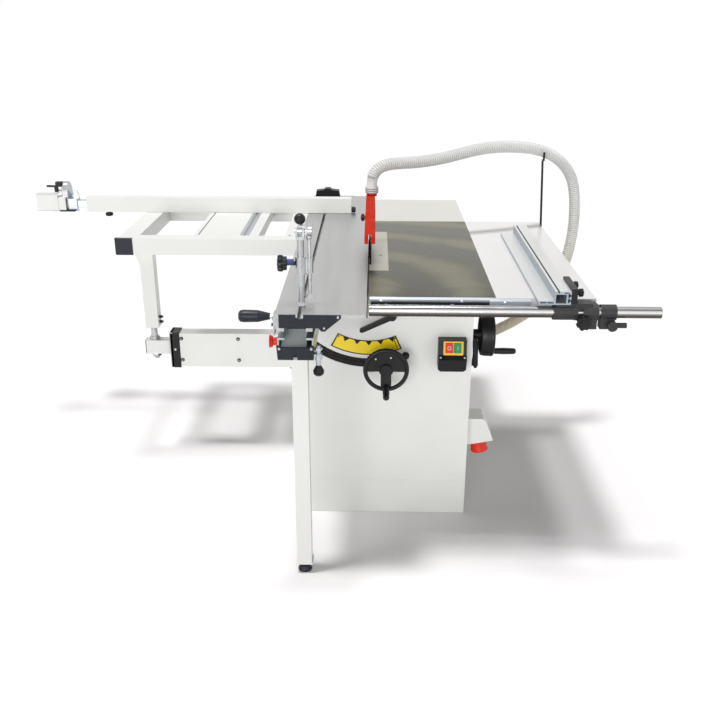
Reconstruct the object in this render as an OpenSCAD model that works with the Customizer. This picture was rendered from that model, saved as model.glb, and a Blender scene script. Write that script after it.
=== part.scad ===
// Sliding table saw. X runs right, Y away from the operator, Z up, in millimetres.
// The origin is the centre of the cabinet's base on the floor.

/* [Cabinet] */
// Width of the cabinet
cab_w = 560; // [540:10:620]
// Depth of the cabinet
cab_d = 600; // [590:10:640]
// Thickness of the cabinet sheet
sheet = 2; // [1.5:0.5:3]
// Height of the plinth seam above the floor
plinth_h = 130; // [100:10:160]
// Width of the flange that rests on the floor
base_flange = 50; // [40:5:70]
// Diameter of the four anchor holes
anchor_d = 13; // [9:1:17]
// Distance of each anchor hole from the cabinet's side
anchor_in = 28; // [20:2:36]

/* [Main table] */
// Height of all table tops above the floor
table_h = 860; // [850:5:880]
// Height of the cast table's edge
cast_h = 60; // [55:5:65]
// Thickness of the cast table's plate
cast_t = 12; // [10:1:14]
// Thickness of the cast table's ribs
rib_t = 9; // [7:1:11]
// Length of the cast table, front to back
cast_l = 980; // [960:10:1000]
// Right edge of the cast table from the cabinet's centre
cast_right = 318; // [310:2:330]
// Width of the rip extension table
rip_w = 294; // [270:10:320]
// Length of the rear extension table
rear_l = 421; // [380:10:440]
// Height of the folded edges of the extension tables
fold_h = 42; // [36:2:48]
// Thickness of the extension table sheet
ext_t = 3; // [2:0.5:4]
// Length of the loose insert plate
insert_l = 528; // [500:4:540]
// Width of the loose insert plate
insert_w = 64; // [60:1:70]
// Thickness of the loose insert plate
insert_t = 6; // [5:0.5:7]
// Length of the blade slot in the insert plate
slot_l = 388; // [370:4:400]

/* [Sliding table] */
// Length of the sliding table
slide_l = 1660; // [1500:20:1700]
// Width of the sliding table
slide_w = 256; // [250:2:270]
// How far the sliding table reaches in front of the centre
slide_front = 668; // [650:2:690]
// Gap between the sliding table and the cast table
slide_gap = 5; // [4:0.5:6]
// Height of the sliding table's box
slide_h = 39; // [36:1:42]
// Thickness of the sliding table's top plate
slide_t = 8; // [6:0.5:8]
// Wall of the sliding table's extrusion
slide_wall = 4; // [3:0.5:5]
// Width of the mouth of the T-slots
tslot_w = 11; // [9:1:14]
// Width of the T-slot's inner channel
tslot_in = 22; // [18:1:26]
// Thickness of the dark end caps
cap_t = 5; // [3:1:7]

/* [Slide rail] */
// Width of the fixed slide rail
rail_w = 102; // [98:1:108]
// Height of the rail's side walls
rail_h = 65; // [60:1:68]
// Wall of the rail's extrusion
rail_wall = 4; // [3:0.5:5]
// Diameter of the balls between the rail and the table
ball_d = 19; // [17:1:20]
// Number of balls in each row
ball_n = 11; // [7:1:13]
// Length of the ball cage
cage_l = 800; // [700:20:840]
// Side of the square front leg
leg_w = 46; // [40:2:50]
// Height of the rubber foot
foot_h = 22; // [18:2:28]

/* [Outrigger] */
// Width of the outrigger frame from the sliding table's edge
frame_w = 674; // [640:10:700]
// Depth of the outrigger frame
frame_d = 613; // [590:10:630]
// Front edge of the outrigger frame from the centre
frame_y = 174; // [160:2:190]
// Height of the frame's box tubes
frame_h = 60; // [50:5:65]
// Wall of the frame's tubes
frame_wall = 3; // [2:0.5:4]
// Side of the square post
post_w = 50; // [44:2:56]
// Length of the post under the frame
post_l = 295; // [280:5:310]

/* [Swing arm] */
// Height of the arm's outer tube
arm_h = 136; // [126:2:140]
// Width of the arm's outer tube
arm_w = 60; // [54:2:64]
// Distance from the arm's pivot to its threaded pin
arm_r = 552; // [530:4:570]
// Length of the outer tube from the pivot
arm_l = 477; // [460:5:490]
// Height of the inner arm
inner_h = 55; // [48:1:58]
// Width of the inner arm
inner_w = 40; // [34:1:42]
// Diameter of the arm's pivot pin
pivot_d = 22; // [18:1:26]

/* [Crosscut fence] */
// Length of the fence tube
fence_l = 1100; // [1000:20:1120]
// Height of the fence tube
fence_h = 60; // [54:2:64]
// Depth of the fence tube
fence_d = 48; // [44:2:54]
// Front face of the fence from the centre
fence_y = 621; // [610:2:630]
// Height of the inner extension tube
ext_h = 36; // [32:1:40]
// Depth of the inner extension tube
ext_d = 34; // [30:1:36]
// Length of the extension tube that shows
ext_show = 190; // [170:5:210]

/* [Hold-down clamp] */
// Diameter of the clamp's column
column_d = 20; // [16:1:22]
// Height of the column above the table
column_h = 215; // [200:5:230]
// Distance of the column from the sliding table's front end
column_in = 94; // [80:2:110]
// Diameter of the ball on the cam lever
knob_ball = 31; // [26:1:34]

/* [Blade unit] */
// Diameter of the saw blade
blade_d = 250; // [230:5:250]
// Thickness of the blade's teeth
kerf = 3.2; // [2.6:0.2:3.6]
// How far the blade stands above the table at rest
blade_up = 77; // [70:1:77]
// Blade centre behind the cabinet's centre
blade_y = 10; // [0:2:20]
// Diameter of the arbor
arbor_d = 30; // [25:1:30]
// Diameter of the motor
motor_d = 128; // [110:2:130]
// Length of the motor
motor_l = 150; // [130:5:155]
// Radius of the curved slot in the front panel
arc_r = 291; // [285:1:297]
// Width of the curved slot
arc_w = 31; // [26:1:34]
// Angle of the height shaft at rest, right of straight down
shaft_a = 11.2; // [10:0.2:12]
// Full tilt of the blade
tilt_max = 45; // [40:1:45]

/* [Hood] */
// Length of the blade hood
hood_l = 350; // [330:5:360]
// Height of the blade hood at its back
hood_h = 97; // [90:1:104]
// Width of the hood at its mouth
hood_w = 36; // [32:1:40]
// Wall of the hood
hood_wall = 2.5; // [2:0.5:3]
// Height of the hood's mouth above the table
hood_up = 70; // [60:2:76]

/* [Handwheels] */
// Outer diameter of both handwheels
wheel_d = 148; // [136:2:156]
// Thickness of the handwheel's rim
rim_t = 14; // [12:1:16]
// Diameter of the crank grips
grip_d = 22; // [20:1:26]
// Length of the crank grips
grip_l = 78; // [60:2:80]

/* [Rip fence] */
// Diameter of the guide tube
tube_d = 34; // [30:1:38]
// Length of the guide tube
tube_l = 846; // [820:5:860]
// Guide tube in front of the cast table's edge
tube_out = 55; // [50:1:60]
// Guide tube below the table top
tube_drop = 26; // [24:1:28]
// Width of the rip fence extrusion
rip_fence_w = 93; // [88:1:98]
// Height of the rip fence extrusion
rip_fence_h = 40; // [36:1:44]
// Length of the rip fence extrusion
rip_fence_l = 822; // [780:10:840]
// Left edge of the rip fence from the centre
rip_fence_x = 431; // [420:2:436]

/* [Extraction] */
// Outer diameter of the hood's hose over its ribs
hose_d = 44; // [40:1:46]
// Bore of the hose
hose_bore = 31; // [28:1:32]
// Number of ribs on the hose
hose_ribs = 160; // [100:5:160]
// Diameter of the dust port at the back
port_d = 100; // [90:5:110]

/* [Fits] */
// Radial clearance of a running fit
fit = 0.05; // [0.02:0.01:0.09]
// Clearance between parts that slide past each other
slip = 0.3; // [0.2:0.05:0.5]
// Travel of the switch's buttons
press = 3; // [2:0.5:4]

/* [Hidden] */
$fn = 48;
HULL_FN = 32;
END = 1;

// Levels and edges that several pieces share
cab_h = table_h - cast_h;
slide_x1 = -64;
slide_x0 = slide_x1 - slide_w;
slide_y0 = -slide_front;
slide_y1 = slide_y0 + slide_l;
cast_left = slide_x1 + slide_gap;
cast_y = cast_l / 2;
under = table_h - cast_t;
blade_x = slide_x1 + slide_gap + 1;
tslot_x = slide_x0 + 70;

// Rail under the sliding table, on a ledge cut into the cabinet's corner
foot_z = table_h - slide_h - 11.4;
rail_top = foot_z - ball_d - 2 * slip;
rail_z = rail_top - rail_h;
rail_x0 = slide_x0 + 6;
rail_x1 = rail_x0 + rail_w;
row_x = [rail_x0 + 11, rail_x1 - 11];
saddle_t = 3;
ledge_z = rail_z - saddle_t;
notch_x = rail_x1 + 7;
leg_x = rail_x0 + 61;
leg_y = slide_y0 + cap_t + leg_w / 2;

// Blade unit: the tilt axis lies in the table top, above the blade plane
arbor_z = table_h + blade_up - blade_d / 2;
pivot_y = blade_y + 160;
pivot_z = arbor_z - 62;
shaft_x = blade_x + arc_r * sin(shaft_a);
shaft_z = table_h - arc_r * cos(shaft_a);
shaft_r = 8;
worm_r = 17.5;
tilt_worm_r = 12;
mesh_gap = 0.5;
rise_gear_r = pivot_z - shaft_z - worm_r - mesh_gap;
plate_y = 212;
plate_t = 12;
tongue_r = 106;
tongue_w = 11;
tilt_z = table_h - 230;
tilt_y = -187;
tilt_gear_r = table_h - tilt_z - tilt_worm_r - mesh_gap;
pulley_x0 = 8 + cast_right - 258;
pulley_t = 28;
pulley_r = 27;
motor_pulley_r = 40;
motor_y = pivot_y - 30;
motor_z = pivot_z - 130;
motor_x = pulley_x0 + pulley_t + 17;

// Rip fence guide and carriage
tube_y = -cast_y - tube_out;
tube_z = table_h - tube_drop;
tube_x0 = cast_left + 3;
rip_x1 = cast_right + rip_w;
rip_y0 = -cast_y - 10;
fence_x1 = rip_fence_x + rip_fence_w;

// Front and side controls
panel_y = -cab_d / 2;
side_x = cab_w / 2;
front_wheel_y = panel_y - 45;
side_wheel_x = side_x + 52;
switch_x0 = 167;
switch_w = 91;
switch_z1 = 662;
switch_h = 106;

// Swing arm under the outrigger
arm_y = frame_y + 41;
pin_x = slide_x0 - frame_w + 97;
arm_x = pin_x + arm_r;
post_z0 = table_h - frame_h - post_l;
arm_z1 = post_z0 - 21;
arm_z0 = arm_z1 - arm_h;
inner_z0 = arm_z0 + 48;

// Extraction hose: points of its route from the hood to the dust port, chosen by hand
HOSE_ROUTE = [[-54, 180, 1046], [-54, 180, 1070], [-50, 184, 1092], [-38, 190, 1112],
    [-16, 198, 1126], [12, 208, 1132], [50, 222, 1134], [100, 240, 1134], [160, 262, 1138],
    [220, 284, 1146], [280, 306, 1158], [340, 330, 1168], [400, 356, 1172], [460, 386, 1170],
    [520, 416, 1163], [575, 442, 1152], [630, 460, 1132], [680, 470, 1098], [718, 474, 1050],
    [738, 474, 990], [746, 470, 920], [746, 462, 850], [738, 452, 780], [722, 440, 710],
    [698, 430, 645], [664, 422, 585], [620, 416, 535], [568, 410, 494], [510, 406, 458],
    [450, 402, 428], [390, 400, 404], [335, 400, 388], [285, 400, 381], [240, 400, 380],
    [190, 400, 380]];

spigot_z = table_h + hood_up + hood_h + 19;

// A box between two corners
module block(x0, x1, y0, y1, z0, z1) translate([x0, y0, z0]) cube([x1 - x0, y1 - y0, z1 - z0]);
// Round bars along each axis
module bar_x(r, x0, x1, y, z) translate([x0, y, z]) rotate([0, 90, 0]) cylinder(r = r, h = x1 - x0);
module bar_y(r, x, y0, y1, z) translate([x, y1, z]) rotate([90, 0, 0]) cylinder(r = r, h = y1 - y0);
module bar_z(r, x, y, z0, z1) translate([x, y, z0]) cylinder(r = r, h = z1 - z0);
// Outlines in X and Z run along Y, outlines in Y and Z run along X
module along_y(points, y0, y1) translate([0, y1, 0]) rotate([90, 0, 0])
    linear_extrude(y1 - y0) polygon(points);
module along_x(points, x0, x1) translate([x0, 0, 0]) rotate([90, 0, 90])
    linear_extrude(x1 - x0) polygon(points);
// A ring along Y about a point in X and Z
module ring_y(r0, r1, x, y0, y1, z) difference() {
    bar_y(r1, x, y0, y1, z);
    bar_y(r0, x, y0 - END, y1 + END, z);
}
// A box tube, open at both ends, along X, Y or Z
module tube_along_x(x0, x1, y0, y1, z0, z1, wall) difference() {
    block(x0, x1, y0, y1, z0, z1);
    block(x0 - END, x1 + END, y0 + wall, y1 - wall, z0 + wall, z1 - wall);
}
// A wedge about the tilt axis, from angle a0 to a1 right of straight down
module tilt_wedge(r, a0, a1, y0, y1) along_y([[blade_x, table_h],
    [blade_x + r * sin(a0), table_h - r * cos(a0)],
    [blade_x + 1.3 * r * sin((a0 + a1) / 2), table_h - 1.3 * r * cos((a0 + a1) / 2)],
    [blade_x + r * sin(a1), table_h - r * cos(a1)]], y0, y1);
// A hexagon nut or head along Z
module hex_z(across, x, y, z0, z1) translate([x, y, z0])
    cylinder(d = across / cos(30), h = z1 - z0, $fn = 6);
// A pan-head screw along -Y on a face at y
module head_y(r, x, y, z) translate([x, y, z]) rotate([90, 0, 0]) cylinder(r1 = r, r2 = 0.7 * r, h = 3);
// A lobed plastic knob along Z, seated at z = 0
module lobed_knob(r, h, lobes) difference() {
    union() {
        cylinder(r = r, h = h);
        cylinder(r = 0.55 * r, h = h + 2);
    }
    for (i = [0 : lobes - 1]) rotate([0, 0, i * 360 / lobes + 22])
        translate([1.18 * r, 0, -END]) cylinder(r = 0.34 * r, h = h + 2 * END);
}
// A dished handwheel about Z, its face up, with a bore; the crank pin stands on a spoke
module handwheel() {
    rim_r = wheel_d / 2 - rim_t / 2;
    rotate_extrude() translate([rim_r, 30]) circle(d = rim_t);
    difference() {
        union() {
            rotate_extrude() polygon([[shaft_r + 4, 0], [18, 0], [20, 18], [rim_r, 27],
                [rim_r, 33], [18, 29], [18, 36], [shaft_r + 4, 36]]);
            cylinder(r = 18, h = 36);
        }
        for (side = [-1, 1]) intersection() {
            difference() {
                translate([0, 0, -END]) cylinder(r = rim_r - 5, h = 60);
                translate([0, 0, -END]) cylinder(r = 24, h = 60);
            }
            linear_extrude(60) polygon([[side * 17, -6], [side * 80, -6], [side * 80, -90], [side * 17, -90]]);
        }
    }
}
module crank_grip() difference() {
    rotate_extrude() polygon([[0, 0], [8, 0], [10, 6], [grip_d / 2, 0.45 * grip_l],
        [grip_d / 2 - 1, grip_l - 5], [grip_d / 2 - 5, grip_l], [0, grip_l]]);
    translate([0, 0, -END]) cylinder(r = 4 + fit, h = grip_l - 8);
}
crank_r = wheel_d / 2 - 14;
// Toothed sector about the origin along Z, from angle a0 to a1
module toothed_sector(r_tip, r_in, a0, a1, thick, step) {
    difference() {
        intersection() {
            cylinder(r = r_tip - 3, h = thick);
            linear_extrude(thick) polygon([[0, 0], [2 * r_tip * cos(a0), 2 * r_tip * sin(a0)],
                [2 * r_tip * cos(a1), 2 * r_tip * sin(a1)]]);
        }
        translate([0, 0, -END]) cylinder(r = r_in, h = thick + 2 * END);
    }
    for (a = [a0 + step / 2 : step : a1 - step / 2]) rotate([0, 0, a]) linear_extrude(thick)
        polygon([[r_tip - 5, -0.011 * r_tip], [r_tip, -0.005 * r_tip], [r_tip, 0.005 * r_tip],
            [r_tip - 5, 0.011 * r_tip]]);
}
// A worm about Z: a grooved cylinder
module worm(r, length) rotate_extrude() polygon(concat([[0, 0]],
    [for (i = [0 : 1 : floor(length / 8) - 1]) each [[r - 3, 8 * i], [r - 3, 8 * i + 2],
        [r, 8 * i + 3.5], [r, 8 * i + 5.5], [r - 3, 8 * i + 7]]],
    [[r - 3, length], [0, length]]));

cab_outline = [[-cab_w / 2, 0], [cab_w / 2, 0], [cab_w / 2, cab_h], [notch_x, cab_h],
    [notch_x, ledge_z], [-cab_w / 2, ledge_z]];
cab_inside = [[-cab_w / 2 + sheet, -END], [cab_w / 2 - sheet, -END], [cab_w / 2 - sheet, cab_h + END],
    [notch_x + sheet, cab_h + END], [notch_x + sheet, ledge_z - sheet], [-cab_w / 2 + sheet, ledge_z - sheet]];
arc_a0 = shaft_a - tilt_max - 5;
arc_a1 = shaft_a + 4;
module cabinet() color("whitesmoke") {
    difference() {
        along_y(cab_outline, -cab_d / 2, cab_d / 2);
        along_y(cab_inside, -cab_d / 2 + sheet, cab_d / 2 - sheet);
        // Curved slot for the height shaft, with round ends
        intersection() {
            ring_y(arc_r - arc_w / 2, arc_r + arc_w / 2, blade_x, panel_y - END, panel_y + sheet + END,
                table_h);
            tilt_wedge(400, arc_a0, arc_a1, panel_y - 2 * END, panel_y + sheet + 2 * END);
        }
        for (a = [arc_a0, arc_a1]) bar_y(arc_w / 2, blade_x + arc_r * sin(a), panel_y - END,
            panel_y + sheet + END, table_h - arc_r * cos(a));
        // Holes for the tilt shaft, the dust port and the inlet's wires
        bar_x(14, side_x - sheet - END, side_x + END, tilt_y, tilt_z);
        bar_y(port_d / 2 + slip, port_x, cab_d / 2 - sheet - END, cab_d / 2 + END, port_z);
        bar_x(9, side_x - sheet - END, side_x + END, inlet_y, inlet_z + 30);
        bar_y(9, switch_x0 + switch_w / 2, panel_y - END, panel_y + sheet + END, switch_z1 - 50);
        // Window in the ledge that clears the tilted blade and quadrant
        block(-cab_w / 2 + 30, notch_x + sheet + END, -plate_y, blade_y + blade_d / 2 + 15,
            ledge_z - sheet - END, ledge_z + 40);
        // Seam of the plinth
        difference() {
            block(-cab_w, cab_w, -cab_d, cab_d, plinth_h - 1, plinth_h + 1);
            block(-cab_w / 2 + 0.8, cab_w / 2 - 0.8, -cab_d / 2 + 0.8, cab_d / 2 - 0.8, 0, 2 * plinth_h);
        }
    }
    // Base flange with anchor holes
    difference() {
        block(-cab_w / 2 + 1, cab_w / 2 - 1, -cab_d / 2 + 1, cab_d / 2 - 1, 0, 4);
        block(-cab_w / 2 + base_flange, cab_w / 2 - base_flange, -cab_d / 2 + base_flange,
            cab_d / 2 - base_flange, -END, 5);
        for (sx = [-1, 1], sy = [-1, 1]) bar_z(anchor_d / 2, sx * (cab_w / 2 - anchor_in),
            sy * (cab_d / 2 - anchor_in), -END, 5);
    }
    // Top flanges that carry the cast table
    for (s = [-1, 1]) block(notch_x + 1, cab_w / 2 - 1, min(s * (cab_d / 2 - 1), s * (cab_d / 2 - 27)),
        max(s * (cab_d / 2 - 1), s * (cab_d / 2 - 27)), cab_h - 4, cab_h);
    block(cab_w / 2 - 27, cab_w / 2 - 1, -cab_d / 2 + 1, cab_d / 2 - 1, cab_h - 4, cab_h);
}

module front_leg() color("whitesmoke") {
    difference() {
        block(leg_x - leg_w / 2, leg_x + leg_w / 2, leg_y - leg_w / 2, leg_y + leg_w / 2, foot_h + 14, rail_z);
        block(leg_x - leg_w / 2 + 3, leg_x + leg_w / 2 - 3, leg_y - leg_w / 2 + 3, leg_y + leg_w / 2 - 3,
            foot_h + 20, rail_z - 5);
    }
    block(leg_x - leg_w / 2 - 4, leg_x + leg_w / 2 + 4, leg_y - leg_w / 2 - 2, leg_y + leg_w / 2 + 2,
        foot_h + 9, foot_h + 14);
}

// Rubber foot of the leg, with its nut
module leg_foot() {
    translate([leg_x, leg_y, 0]) rotate_extrude() polygon([[0, 0], [21, 0], [22, 4],
        [17, foot_h - 4], [11, foot_h], [0, foot_h]]);
    hex_z(19, leg_x, leg_y, foot_h - 1, foot_h + 9);
}

rail_outline = [[rail_x0, rail_z], [rail_x1, rail_z], [rail_x1, rail_top],
    [rail_x1 - 20, rail_top], [rail_x1 - 20, rail_top - 6], [rail_x1 - rail_wall, rail_top - 6],
    [rail_x1 - rail_wall, rail_z + rail_wall + 2], [rail_x0 + rail_wall, rail_z + rail_wall + 2],
    [rail_x0 + rail_wall, rail_top - 6], [rail_x0 + 20, rail_top - 6],
    [rail_x0 + 20, rail_top], [rail_x0, rail_top]];
notch_rail_x = leg_x - 9;
module slide_rail() color("silver") difference() {
    along_y(rail_outline, slide_y0 + cap_t, slide_y1 - cap_t);
    block(rail_x0 + 44, rail_x0 + 44 + tslot_w, slide_y0, slide_y1, rail_z - END, rail_z + 3);
}

// Dark caps on both ends of the rail, with the notch of its bolt slot
module rail_caps() color("darkslategray") {
    for (y0 = [slide_y0, slide_y1 - cap_t]) along_y([[rail_x0, rail_z], [rail_x0 + 44, rail_z],
        [rail_x0 + 44, rail_z + 13], [rail_x0 + 56, rail_z + 13], [rail_x0 + 56, rail_z], [rail_x1, rail_z],
        [rail_x1 + 2, rail_z + 42], [rail_x1 - 8, rail_z + 43], [rail_x1 - 12, rail_z + 37],
        [rail_x0 + 4, rail_z + 37], [rail_x0 + 2, rail_z + 44], [rail_x0 - 3, rail_z + 42]], y0, y0 + cap_t);
    leg_foot();
}

bracket_y = [-246, 246];
module fixed_brackets() color("gainsboro") {
    // Saddles between the ledge and the rail
    for (y = bracket_y) {
        block(-cab_w / 2, notch_x - 1, y - 30, y + 30, ledge_z, rail_z);
        block(rail_x0 + 8, -cab_w / 2, y - 30, y + 30, rail_z - 8, rail_z);
    }
    // Clevis of the swing arm on the left wall, with its pin
    difference() {
        union() {
            block(-cab_w / 2 - 8, -cab_w / 2, arm_y - 40, arm_y + 40, arm_z0 - 25, arm_z1 + 25);
            for (z = [arm_z0 - 12, arm_z1 + 3]) hull() {
                translate([arm_x, arm_y, z]) cylinder(r = 27, h = 9, $fn = HULL_FN);
                block(-cab_w / 2 - 8, -cab_w / 2 - 4, arm_y - 27, arm_y + 27, z, z + 9);
            }
        }
        bar_z(pivot_d / 2, arm_x, arm_y, arm_z0 - 30, arm_z1 + 30);
    }
    bar_z(pivot_d / 2, arm_x, arm_y, arm_z0 - 18, arm_z1 + 18);
    // Trunnion brackets under the cast table, each with a curved groove
    for (s = [-1, 1]) mirror([0, s < 0 ? 0 : 1, 0]) difference() {
        intersection() {
            bar_y(tongue_r + 24, blade_x, -plate_y - 24, -plate_y - 0.5, table_h);
            block(blade_x - 92, blade_x + 110, -plate_y - 25, -plate_y, table_h - 140, under);
        }
        ring_y(tongue_r - tongue_w / 2 - slip, tongue_r + tongue_w / 2 + slip, blade_x,
            -plate_y - 11, -plate_y, table_h);
    }
    // Bearing tube of the tilt shaft on the right wall
    difference() {
        union() {
            bar_x(15, side_x - sheet - 215, side_x - sheet, tilt_y, tilt_z);
            bar_x(32, side_x - sheet - 8, side_x - sheet, tilt_y, tilt_z);
        }
        bar_x(shaft_r + fit, 0, side_x + END, tilt_y, tilt_z);
    }
}

throat_y0 = blade_y - 230;
throat_y1 = throat_y0 + insert_l;
insert_x1 = cast_left + insert_w;
module main_table() color("gray") difference() {
    union() {
        block(cast_left, cast_right, -cast_y, cast_y, under, table_h);
        // Edges and ribs
        for (s = [-1, 1]) {
            block(cast_left, cast_right, s > 0 ? cast_y - 10 : -cast_y, s > 0 ? cast_y : -cast_y + 10, cab_h, under);
            block(cast_left, cast_left + rib_t, s > 0 ? cab_d / 2 - 10 : -cast_y, s > 0 ? cast_y : -cab_d / 2 + 10,
                cab_h, under);
            block(cast_left, cast_right, s * (cab_d / 2 - 14) - rib_t / 2, s * (cab_d / 2 - 14) + rib_t / 2,
                cab_h, under);
        }
        block(cast_right - 10, cast_right, -cast_y, cast_y, cab_h, under);
        block(side_x - 19, side_x - 19 + rib_t, -cab_d / 2 + 14, cab_d / 2 - 14, cab_h, under);
        for (x = [150, 210]) block(x, x + rib_t, -cast_y, cast_y, under - 26, under);
    }
    // Throat with a ledge for the insert plate
    block(cast_left - END, insert_x1, throat_y0, throat_y1, table_h - insert_t, table_h + END);
    block(cast_left - END, insert_x1 - 6, throat_y0 + 8, throat_y1 - 8, under - END, table_h);
}

insert_slot_y = throat_y0 + 70;
module table_insert() color("lightgray") difference() {
    block(cast_left, insert_x1 - slip, throat_y0 + slip, throat_y1 - slip, table_h - insert_t, table_h);
    block(cast_left - END, cast_left + 6, insert_slot_y, insert_slot_y + slot_l, table_h - 2 * insert_t, table_h + END);
    bar_z(6, insert_x1 - 26, insert_slot_y + 120, table_h - 2, table_h + END);
}

// A folded sheet table: a plate with edges folded down on all sides
module folded_table(x0, x1, y0, y1) difference() {
    block(x0, x1, y0, y1, table_h - fold_h, table_h);
    block(x0 + ext_t, x1 - ext_t, y0 + ext_t, y1 - ext_t, table_h - fold_h - END, table_h - ext_t);
}
module extension_tables() color("whitesmoke") {
    folded_table(cast_left, cast_right, cast_y, cast_y + rear_l);
    folded_table(cast_right, rip_x1, rip_y0, cast_y);
    // Channel that stiffens the sheet
    for (y = [-180, 170]) block(cast_right + 2, rip_x1 - 2, y, y + 40, table_h - fold_h, table_h - ext_t);
}

front_rail_h = 25;
module front_rail() color("lightsteelblue") {
    // The right end laps in front and runs on past the cast table
    for (lap = [0, 1]) translate([0, -10 * lap, 0]) along_x([[-cast_y, table_h - 1], [-cast_y - 4, table_h - 1],
        [-cast_y - 10, table_h - 7], [-cast_y - 10, table_h - front_rail_h], [-cast_y, table_h - front_rail_h]],
        lap == 0 ? tube_x0 : cast_right - 20, cast_right + 102 * lap);
    rail_fixings();
}

stud_x = [-7, 188];
module guide_tube() color("silver") difference() {
    bar_x(tube_d / 2, tube_x0, tube_x0 + tube_l, tube_y, tube_z);
    bar_x(tube_d / 2 - 3, tube_x0 - END, tube_x0 + tube_l + END, tube_y, tube_z);
    for (x = stud_x) bar_y(5, x, tube_y, tube_y + tube_d, tube_z);
}

module rail_fixings() {
    // Studs that hold the tube, each with a spacer
    for (x = stud_x) {
        bar_y(5, x, tube_y + tube_d / 2 - 2, -cast_y, tube_z);
        difference() {
            bar_y(9, x, tube_y + tube_d / 2, -cast_y, tube_z);
            bar_y(5, x, tube_y, -cast_y + END, tube_z);
        }
    }
    for (b = [[-22, 10], [217, 10], [343, 20]]) head_y(6, b[0], -cast_y - b[1], table_h - 14);
    // Screws of the rail's front cap and of the switch box
    for (x = [rail_x0 + 5, rail_x1 - 6]) head_y(4.5, x, slide_y0, rail_z + 34);
    for (x = screw_x) head_y(4, x, switch_y - 47, switch_z1 - 54);
    // Body of the index plunger on its lug
    difference() {
        union() {
            block(rail_x1, plunger_x, plunger_y - 9, plunger_y + 9, rail_z + 2, rail_z + 11);
            bar_z(11, plunger_x, plunger_y, plunger_z - 44, plunger_z - 24);
            bar_z(7, plunger_x, plunger_y, plunger_z - 60, plunger_z);
            hex_z(20, plunger_x, plunger_y, plunger_z - 14, plunger_z - 6);
        }
        bar_z(4 + fit, plunger_x, plunger_y, plunger_z - 61, plunger_z - 6);
    }
}
plunger_x = rail_x1 + 12;
plunger_y = slide_y0 + 28;
plunger_z = rail_top - 30;

switch_y = panel_y;
// Switch box: steep upper face with the buttons, sloping lower cover
switch_side = [[switch_y, switch_z1], [switch_y - 34, switch_z1], [switch_y - 44, switch_z1 - 46],
    [switch_y - 56, switch_z1 - 60], [switch_y - 44, switch_z1 - switch_h + 6],
    [switch_y - 40, switch_z1 - switch_h], [switch_y, switch_z1 - switch_h]];
screw_x = [switch_x0 + 7, switch_x0 + switch_w - 7];
button_w = 22;
button_h = 30;
button_x = [switch_x0 + 23, switch_x0 + 50];
button_z = switch_z1 - 38;
module button_well(x) block(x - slip, x + button_w + slip, switch_y - 60, switch_y - 20,
    button_z - slip, button_z + button_h + slip);
module switch_box() color("black") difference() {
    along_x(switch_side, switch_x0, switch_x0 + switch_w);
    block(switch_x0 + 3, switch_x0 + switch_w - 3, switch_y - 17, switch_y + END,
        switch_z1 - switch_h + 3, switch_z1 - 3);
    for (x = button_x) button_well(x);
    for (x = screw_x) bar_y(4 + slip, x, switch_y - 60, switch_y - 47, switch_z1 - 54);
    for (sx = [0, 1]) translate([switch_x0 + sx * switch_w, switch_y - 60, switch_z1 - switch_h])
        rotate([0, 45, 0]) translate([-6, 0, -6]) cube([12, 80, 12]);
}
button_in = switch_y - 20 - press - slip;
module push_button(x) along_x([[button_in, button_z], [button_in, button_z + button_h],
    [switch_y - 41, button_z + button_h], [switch_y - 49, button_z]], x, x + button_w);
module stop_button() color("red") push_button(button_x[0]);
module start_button() color("green") push_button(button_x[1]);

// Inlet: a white housing that flares downwards and a red round shroud under it
inlet_y = -215;
inlet_z = 290;
inlet_d = 60;
module machine_inlet() color("white") {
    inlet_housing();
    inlet_shroud();
}
module inlet_housing() difference() {
    along_y([[side_x, inlet_z + 56], [side_x + 56, inlet_z + 56], [side_x + 66, inlet_z + 46],
        [side_x + 94, inlet_z - 26], [side_x, inlet_z - 44]], inlet_y - 42, inlet_y + 42);
    translate([side_x + 45, inlet_y, inlet_z + 10]) rotate([0, -11, 0])
        translate([0, 0, -60]) cylinder(r = inlet_d / 2 - 3, h = 60);
}
module inlet_shroud() translate([side_x + 45, inlet_y, inlet_z - 34]) rotate([0, -11, 0]) {
    difference() {
        translate([0, 0, -46]) cylinder(r = inlet_d / 2 - 3.1, h = 84);
        translate([0, 0, -46 - END]) cylinder(r = inlet_d / 2 - 6, h = 60);
    }
    for (i = [0 : 4]) rotate([0, 0, 72 * i]) translate([14, 0, -28]) cylinder(r = 2.5, h = 45);
}

// Dust port: chute inside the cabinet, round port at the back with a branch for the hood's hose
port_x = 100;
port_z = 380;
port_y1 = cab_d / 2 + 160;
hose_end = HOSE_ROUTE[len(HOSE_ROUTE) - 1];
module dust_port() color("dimgray") {
    difference() {
        union() {
            bar_y(port_d / 2, port_x, 60, port_y1, port_z);
            bar_x(hose_bore / 2 + 5, port_x, hose_end[0], hose_end[1], hose_end[2]);
            bar_y(port_d / 2 + 3, port_x, cab_d / 2 + 1, port_y1 - 35, port_z);
            ring_y(port_d / 2 - 1, port_d / 2 + 14, port_x, cab_d / 2, cab_d / 2 + 5, port_z);
        }
        bar_y(port_d / 2 - 4, port_x, 60 - END, port_y1 + END, port_z);
        bar_x(hose_bore / 2, port_x, hose_end[0] + END, hose_end[1], hose_end[2]);
    }
    // Funnel plate in front of the port
    difference() {
        block(port_x - 75, port_x + 75, 54, 60, port_z - 75, port_z + 75);
        bar_y(port_d / 2 - 4, port_x, 50, 62, port_z);
    }
}

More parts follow.
